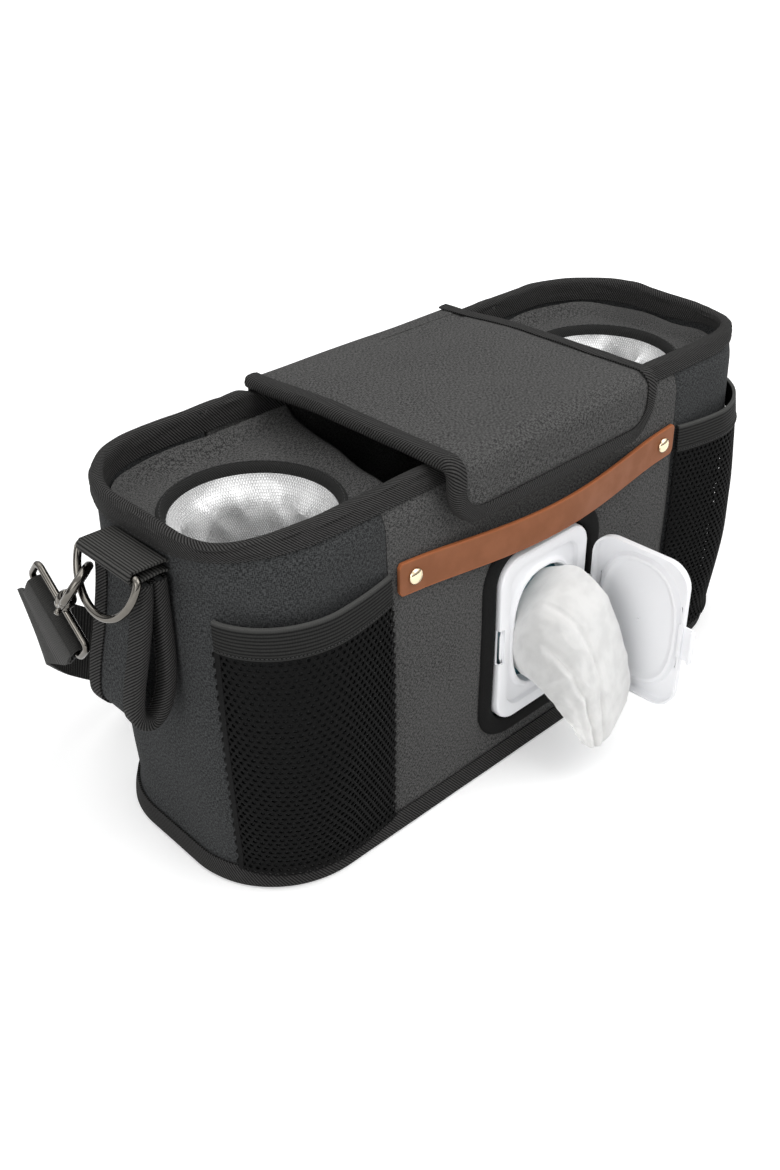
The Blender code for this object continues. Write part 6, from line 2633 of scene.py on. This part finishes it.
    def build_handle(self) -> None:
        """Build the stroller strap: canvas with a folded ribbed tape along both edges."""
        line = self.handle_line()
        length = line_lengths(line)[-1]
        core = self.handle_width / 2 - TAPE - GAP
        piece = self.strip(f"{self.side}_handle_canvas", line, core, self.handle_thick, 12)
        # The stroller strap takes the darker end canvas, painted shade.
        dress(piece, Cloth.SHADED_END_CANVAS, nodes=(f"{self.side}_handle_strap",))
        inset = self.handle_tape - TAPE - GAP
        lift = self.handle_thick / 2 + 0.35 * MM + TAPE
        for edge, word in ((-1, "front"), (1, "back")):
            shape = section([(-inset, lift - 0.3 * MM), (-inset / 2, lift + 0.2 * MM),
                             (0, lift), (TAPE + GAP, 0.4 * lift), (TAPE + GAP, -0.4 * lift),
                             (0, -lift), (-inset / 2, -lift - 0.1 * MM),
                             (-inset, -lift + 0.3 * MM)], 5, 18)
            width = line_lengths(shape)[-1]
            forward = edge * self.end.value > 0

            def surface(u: float, v: float, edge: int = edge, forward: bool = forward,
                        shape: list[Vector] = shape) -> Vector:
                """Place on the tape, along and across."""
                spot = sample(line, u)
                normal = Vector((0, 1, 0)).cross(run_at(line, u))
                cut = sample(shape, v if forward else 1 - v)
                return self.end.flip(spot + normal * cut.y
                                     + Vector((0, edge * (core + cut.x), 0)))

            tape = Sheet(f"{self.side}_handle_tape_{word}", surface, (110, 18),
                         (length, width), 0.8 * TAPE).build()
            dress(tape, Cloth.BINDING,
                  nodes=(f"{self.side}_handle_binding_{word}",))
            row = []
            for step in range(111):
                normal = Vector((0, 1, 0)).cross(run_at(line, step / 110))
                spot = line[step] + normal * (lift + 0.1 * MM) + Vector(
                    (0, edge * (core - inset + 1.5 * MM), 0))
                row.append((self.end.flip(spot), self.end.flip(normal)))
            Stitches(f"{self.side}_handle_stitches_{word}", row, radius=0.2 * MM).sew()

    def build(self) -> None:
        """Build everything at this end."""
        self.build_ring()
        self.build_hook()
        self.build_eye()
        self.build_tab()
        self.build_handle()


@dataclass
class ShoulderStrap:
    """The webbing strap behind the bag, in two halves that meet in the slider."""

    hardware: EndHardware
    middle: Vector = field(default_factory=lambda: Vector((0, 96, 23.6)) * MM)
    stretch: float = 26 * MM
    lift: float = 3.3 * MM
    reach: float = 9 * MM

    def route(self) -> list[Edge]:
        """Places and width directions from the left eye to the start of the slider.

        Returns:
            Places, each with the direction of the strap's width.
        """
        kit = self.hardware
        bar = kit.hook_axes.translation + kit.hook_line * kit.far
        along, across = kit.hook_line, kit.eye_turn
        side = along.cross(across).normalized()
        if side.x > 0:
            side = -side
        turn = kit.eye_wire / 2 + 1.5 * GAP + WEBBING_THICK / 2
        near = WEBBING_THICK / 2 + GAP / 2
        places = [bar + along * 17 * MM - side * near,
                  bar + along * 6 * MM - side * (turn - 0.5 * MM)]
        places += [bar - side * turn * math.cos(math.radians(a))
                   - along * turn * math.sin(math.radians(a)) for a in range(0, 181, 30)]
        places += [bar + along * 6 * MM + side * (turn - 0.5 * MM),
                   bar + along * 15 * MM + side * near]
        sign = 1 if across.z > 0 else -1
        result = [(place, across) for place in places]
        for spot, lean in (((-199, 64, 103), (0, 0.6, 0.8)), ((-196.5, 77, 95.5), (0, 0.42, 0.91)),
                           ((-187.5, 90, 83), (0.10, 0.28, 0.95)),
                           ((-168, 99, 62), (0.30, 0.20, 0.93)),
                           ((-143, 108, 40), (0.36, 0.10, 0.93)),
                           ((-112, 116, 25), (0.18, 0.04, 0.98)), ((-80, 118, 21), (0.04, 0, 1)),
                           ((-52, 104, 21), (0, 0, 1)), ((-32, 96.5, 23), (0, 0, 1))):
            result.append((Vector(spot) * MM, Vector(lean).normalized() * sign))
        return result

    def weave(self, place: Vector) -> Vector:
        """Lead the strap under the slider's ends and over its middle bar.

        Args:
            place: Place on the strap's plain course.

        Returns:
            The place with its turn through the slider.
        """
        away = abs(place.x - self.middle.x)
        if away < self.reach:
            shift = -self.lift * math.cos(math.pi * away / self.reach)
        else:
            shift = self.lift * (1 - ease((away - self.reach) / (14 * MM)))
        return place + Vector((0, shift, 0))

    def half(self, end: End) -> None:
        """Build one half: its loop on the eye, and its run to the middle of the slider.

        Args:
            end: End of the bag that it hangs from.
        """
        route = self.route()
        places = [place for place, _ in route]
        leans = [lean for _, lean in route]
        start = self.middle - Vector((self.stretch, 0, 0))
        line = smooth_line([*places, start], 6)
        widths = smooth_line([*leans, leans[-1]], 6)
        tail = [start + Vector((self.stretch * k / 26, 0, 0)) for k in range(1, 27)]
        line = [self.weave(place) for place in line + tail]
        widths = [width.normalized() for width in widths] + [leans[-1]] * len(tail)
        lengths = line_lengths(line)
        split = next(i for i, place in enumerate(line) if place.y > 63 * MM)
        for first, last, name in ((0, split, "loop"), (split, len(line) - 1, "run")):
            part, turns = line[first:last + 1], widths[first:last + 1]
            origin, length = lengths[first], lengths[last] - lengths[first]

            def surface(u: float, v: float, part: list[Vector] = part,
                        turns: list[Vector] = turns) -> Vector:
                """Place on the strap, along and across."""
                index = round(u * (len(part) - 1))
                return end.flip(part[index] + turns[index] * (WEBBING / 2 * (2 * v - 1)))

            piece = Sheet(f"{end.side}_strap_{name}", surface, (len(part) - 1, 8),
                          (length, WEBBING), WEBBING_THICK, offset=0).build()
            for loop in piece.data.uv_layers["flat"].data:
                loop.uv = (loop.uv[0] + origin, loop.uv[1])
            nodes = ("shoulder_strap",) if (end, name) == (End.LEFT, "run") else ()
            dress(piece, Cloth.WEBBING, body=None, nodes=nodes)
            if name == "loop":
                f"{end.side}_eye"
                f"{end.side}_ring"
                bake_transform(piece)
            else:
                f"{end.side}_ring"
                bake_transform(piece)

    def build_slider(self) -> None:
        """Build the three-bar slider with rounded edges."""
        low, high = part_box("strap_slider")
        size, centre = high - low, (low + high) / 2
        piece = block("slider_plate", size, centre)
        bar = 4 * MM
        slot = (size.x - bar) / 2 - 3.2 * MM
        for sign in (-1, 1):
            subtract(piece, block("slot_cutter", (slot, 3 * size.y, WEBBING + 2 * MM),
                                  centre + Vector((sign * (bar + slot) / 2, 0, 0))))
        soften(piece, 0.7 * MM, 3, 60)
        bake(piece)
        dress(smooth(piece), Cloth.GUNMETAL, nodes=("strap_slider",))

    def build(self) -> None:
        """Build both halves and the slider."""
        for end in End:
            self.half(end)
        self.build_slider()


# Stage


@dataclass
class Studio:
    """Camera, white floor and soft light."""

    place: tuple[float, float, float] = (-0.3961, -0.3847, 0.4204)
    azimuth: float = math.radians(42.78)
    down: float = math.radians(32.80)
    roll: float = math.radians(-1.083)
    lens: float = 37.73

    def camera(self) -> None:
        """Set the camera as the photograph's was."""
        data = bpy.data.cameras.new("camera")
        data.lens = self.lens
        data.clip_start = 0.01
        camera = bpy.data.objects.new("camera", data)
        bpy.context.scene.collection.objects.link(camera)
        ahead = Vector((math.sin(self.azimuth) * math.cos(self.down),
                        math.cos(self.azimuth) * math.cos(self.down), -math.sin(self.down)))
        right = Vector((math.cos(self.azimuth), -math.sin(self.azimuth), 0))
        upward = right.cross(ahead)
        c, s = math.cos(self.roll), math.sin(self.roll)
        camera.matrix_world = EndHardware.axes(c * right + s * upward, -s * right + c * upward,
                                               -ahead, Vector(self.place))
        bpy.context.scene.camera = camera

    def white(self, graph: Graph, strength: object) -> bpy.types.NodeSocket:
        """A strength for the rays that see the background itself, and none for the rest.

        Args:
            graph: Graph of the material.
            strength: Strength wanted.

        Returns:
            The strength for every kind of ray.
        """
        path = graph.tree.nodes.new("ShaderNodeLightPath")
        seen = graph.math("MAXIMUM", path.outputs["Is Camera Ray"],
                          path.outputs["Is Glossy Ray"])
        seen = graph.math("MAXIMUM", seen, path.outputs["Is Transmission Ray"])
        return graph.math("MULTIPLY", seen, strength)

    def floor(self) -> None:
        """Lay a white floor that keeps the bag's shadow."""
        bm = bmesh.new()
        bmesh.ops.create_grid(bm, x_segments=1, y_segments=1, size=6.0)
        floor = from_bmesh("studio_floor", bm)
        floor.location.z = -0.2 * MM
        material = bpy.data.materials.new("white_floor")
        material.use_nodes = True
        graph = Graph(material.node_tree)
        shader = material.node_tree.nodes["Principled BSDF"]
        shader.inputs["Base Color"].default_value = (0.86, 0.86, 0.86, 1)
        shader.inputs["Roughness"].default_value = 0.9
        shader.inputs["Specular IOR Level"].default_value = 0.0
        shader.inputs["Emission Color"].default_value = (1, 1, 1, 1)
        parts = graph.split(graph.tree.nodes.new("ShaderNodeTexCoord").outputs["Object"])
        away = graph.math("SQRT", graph.math("ADD", graph.math("POWER", parts[0], 2.0),
                                             graph.math("POWER", parts[1], 2.0)))
        lift = graph.math("MULTIPLY_ADD", graph.ramp(away, 0.3, 1.1), 0.5, 0.33)
        graph.fill(shader.inputs["Emission Strength"], self.white(graph, lift))
        floor.data.materials.append(material)

    def lamp(self, name: str, place: tuple[float, float, float], size: float, power: float,
             target: tuple[float, float, float] = (0, 0, 0.08)) -> None:
        """Hang a square soft light that faces a target.

        Args:
            name: Name of the lamp.
            place: Where it hangs.
            size: Length of its side.
            power: Power in watts.
            target: Place that it faces.
        """
        data = bpy.data.lights.new(name, "AREA")
        data.shape = "SQUARE"
        data.size = size
        data.energy = power
        lamp = bpy.data.objects.new(name, data)
        bpy.context.scene.collection.objects.link(lamp)
        lamp.location = place
        lamp.rotation_euler = (Vector(target) - Vector(place)).to_track_quat(
            "-Z", "Y").to_euler()

    def world(self) -> None:
        """Light everything softly, and show white behind."""
        world = bpy.data.worlds.new("studio")
        world.use_nodes = True
        bpy.context.scene.world = world
        graph = Graph(world.node_tree)
        background = world.node_tree.nodes["Background"]
        background.inputs["Color"].default_value = (1, 1, 1, 1)
        path = graph.tree.nodes.new("ShaderNodeLightPath").outputs
        sky = graph.split(graph.tree.nodes.new("ShaderNodeTexCoord").outputs["Generated"])[2]
        mirrored = graph.math("MULTIPLY_ADD", graph.ramp(sky, 0.05, 0.45), 1.0, -0.42)
        strength = graph.math("MULTIPLY_ADD", path["Is Camera Ray"], 0.5, 0.5)
        strength = graph.math("MULTIPLY_ADD", path["Is Glossy Ray"], mirrored, strength)
        graph.fill(background.inputs["Strength"], strength)

    def build(self) -> None:
        """Build the studio."""
        bpy.context.scene.view_settings.view_transform = "Standard"
        self.camera()
        self.floor()
        self.world()
        self.lamp("key_light", (0.35, -0.75, 1.25), 1.1, 12.0)
        self.lamp("top_light", (-0.2, 0.35, 1.5), 1.2, 8.0)
        self.lamp("side_light", (-1.3, -0.4, 0.6), 0.9, 6.5)


def main() -> None:
    """Dress the whole organizer."""
    logging.basicConfig(level=logging.INFO, format="%(name)s %(message)s")
    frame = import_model()
    Studio().build()
    form = BagForm()
    Walls(form).build()
    Bindings(form).build()
    for end in End:
        Cup(form, end).build()
    Lid().build()
    for end in End:
        MeshPocket(form, end).build()
    LeatherStrap(form).build()
    Dispenser(form).build()
    for end in End:
        EndHardware(form, end).build()
    ShoulderStrap(EndHardware(form, End.LEFT)).build()
    for node, finish in (("base_panel", Cloth.CANVAS), ("base_board", Cloth.BOARD)):
        piece = frame["nodes"][node]
        piece.data.materials.clear()
        piece.data.materials.append(finish.material())


if __name__ == "__main__":
    main()
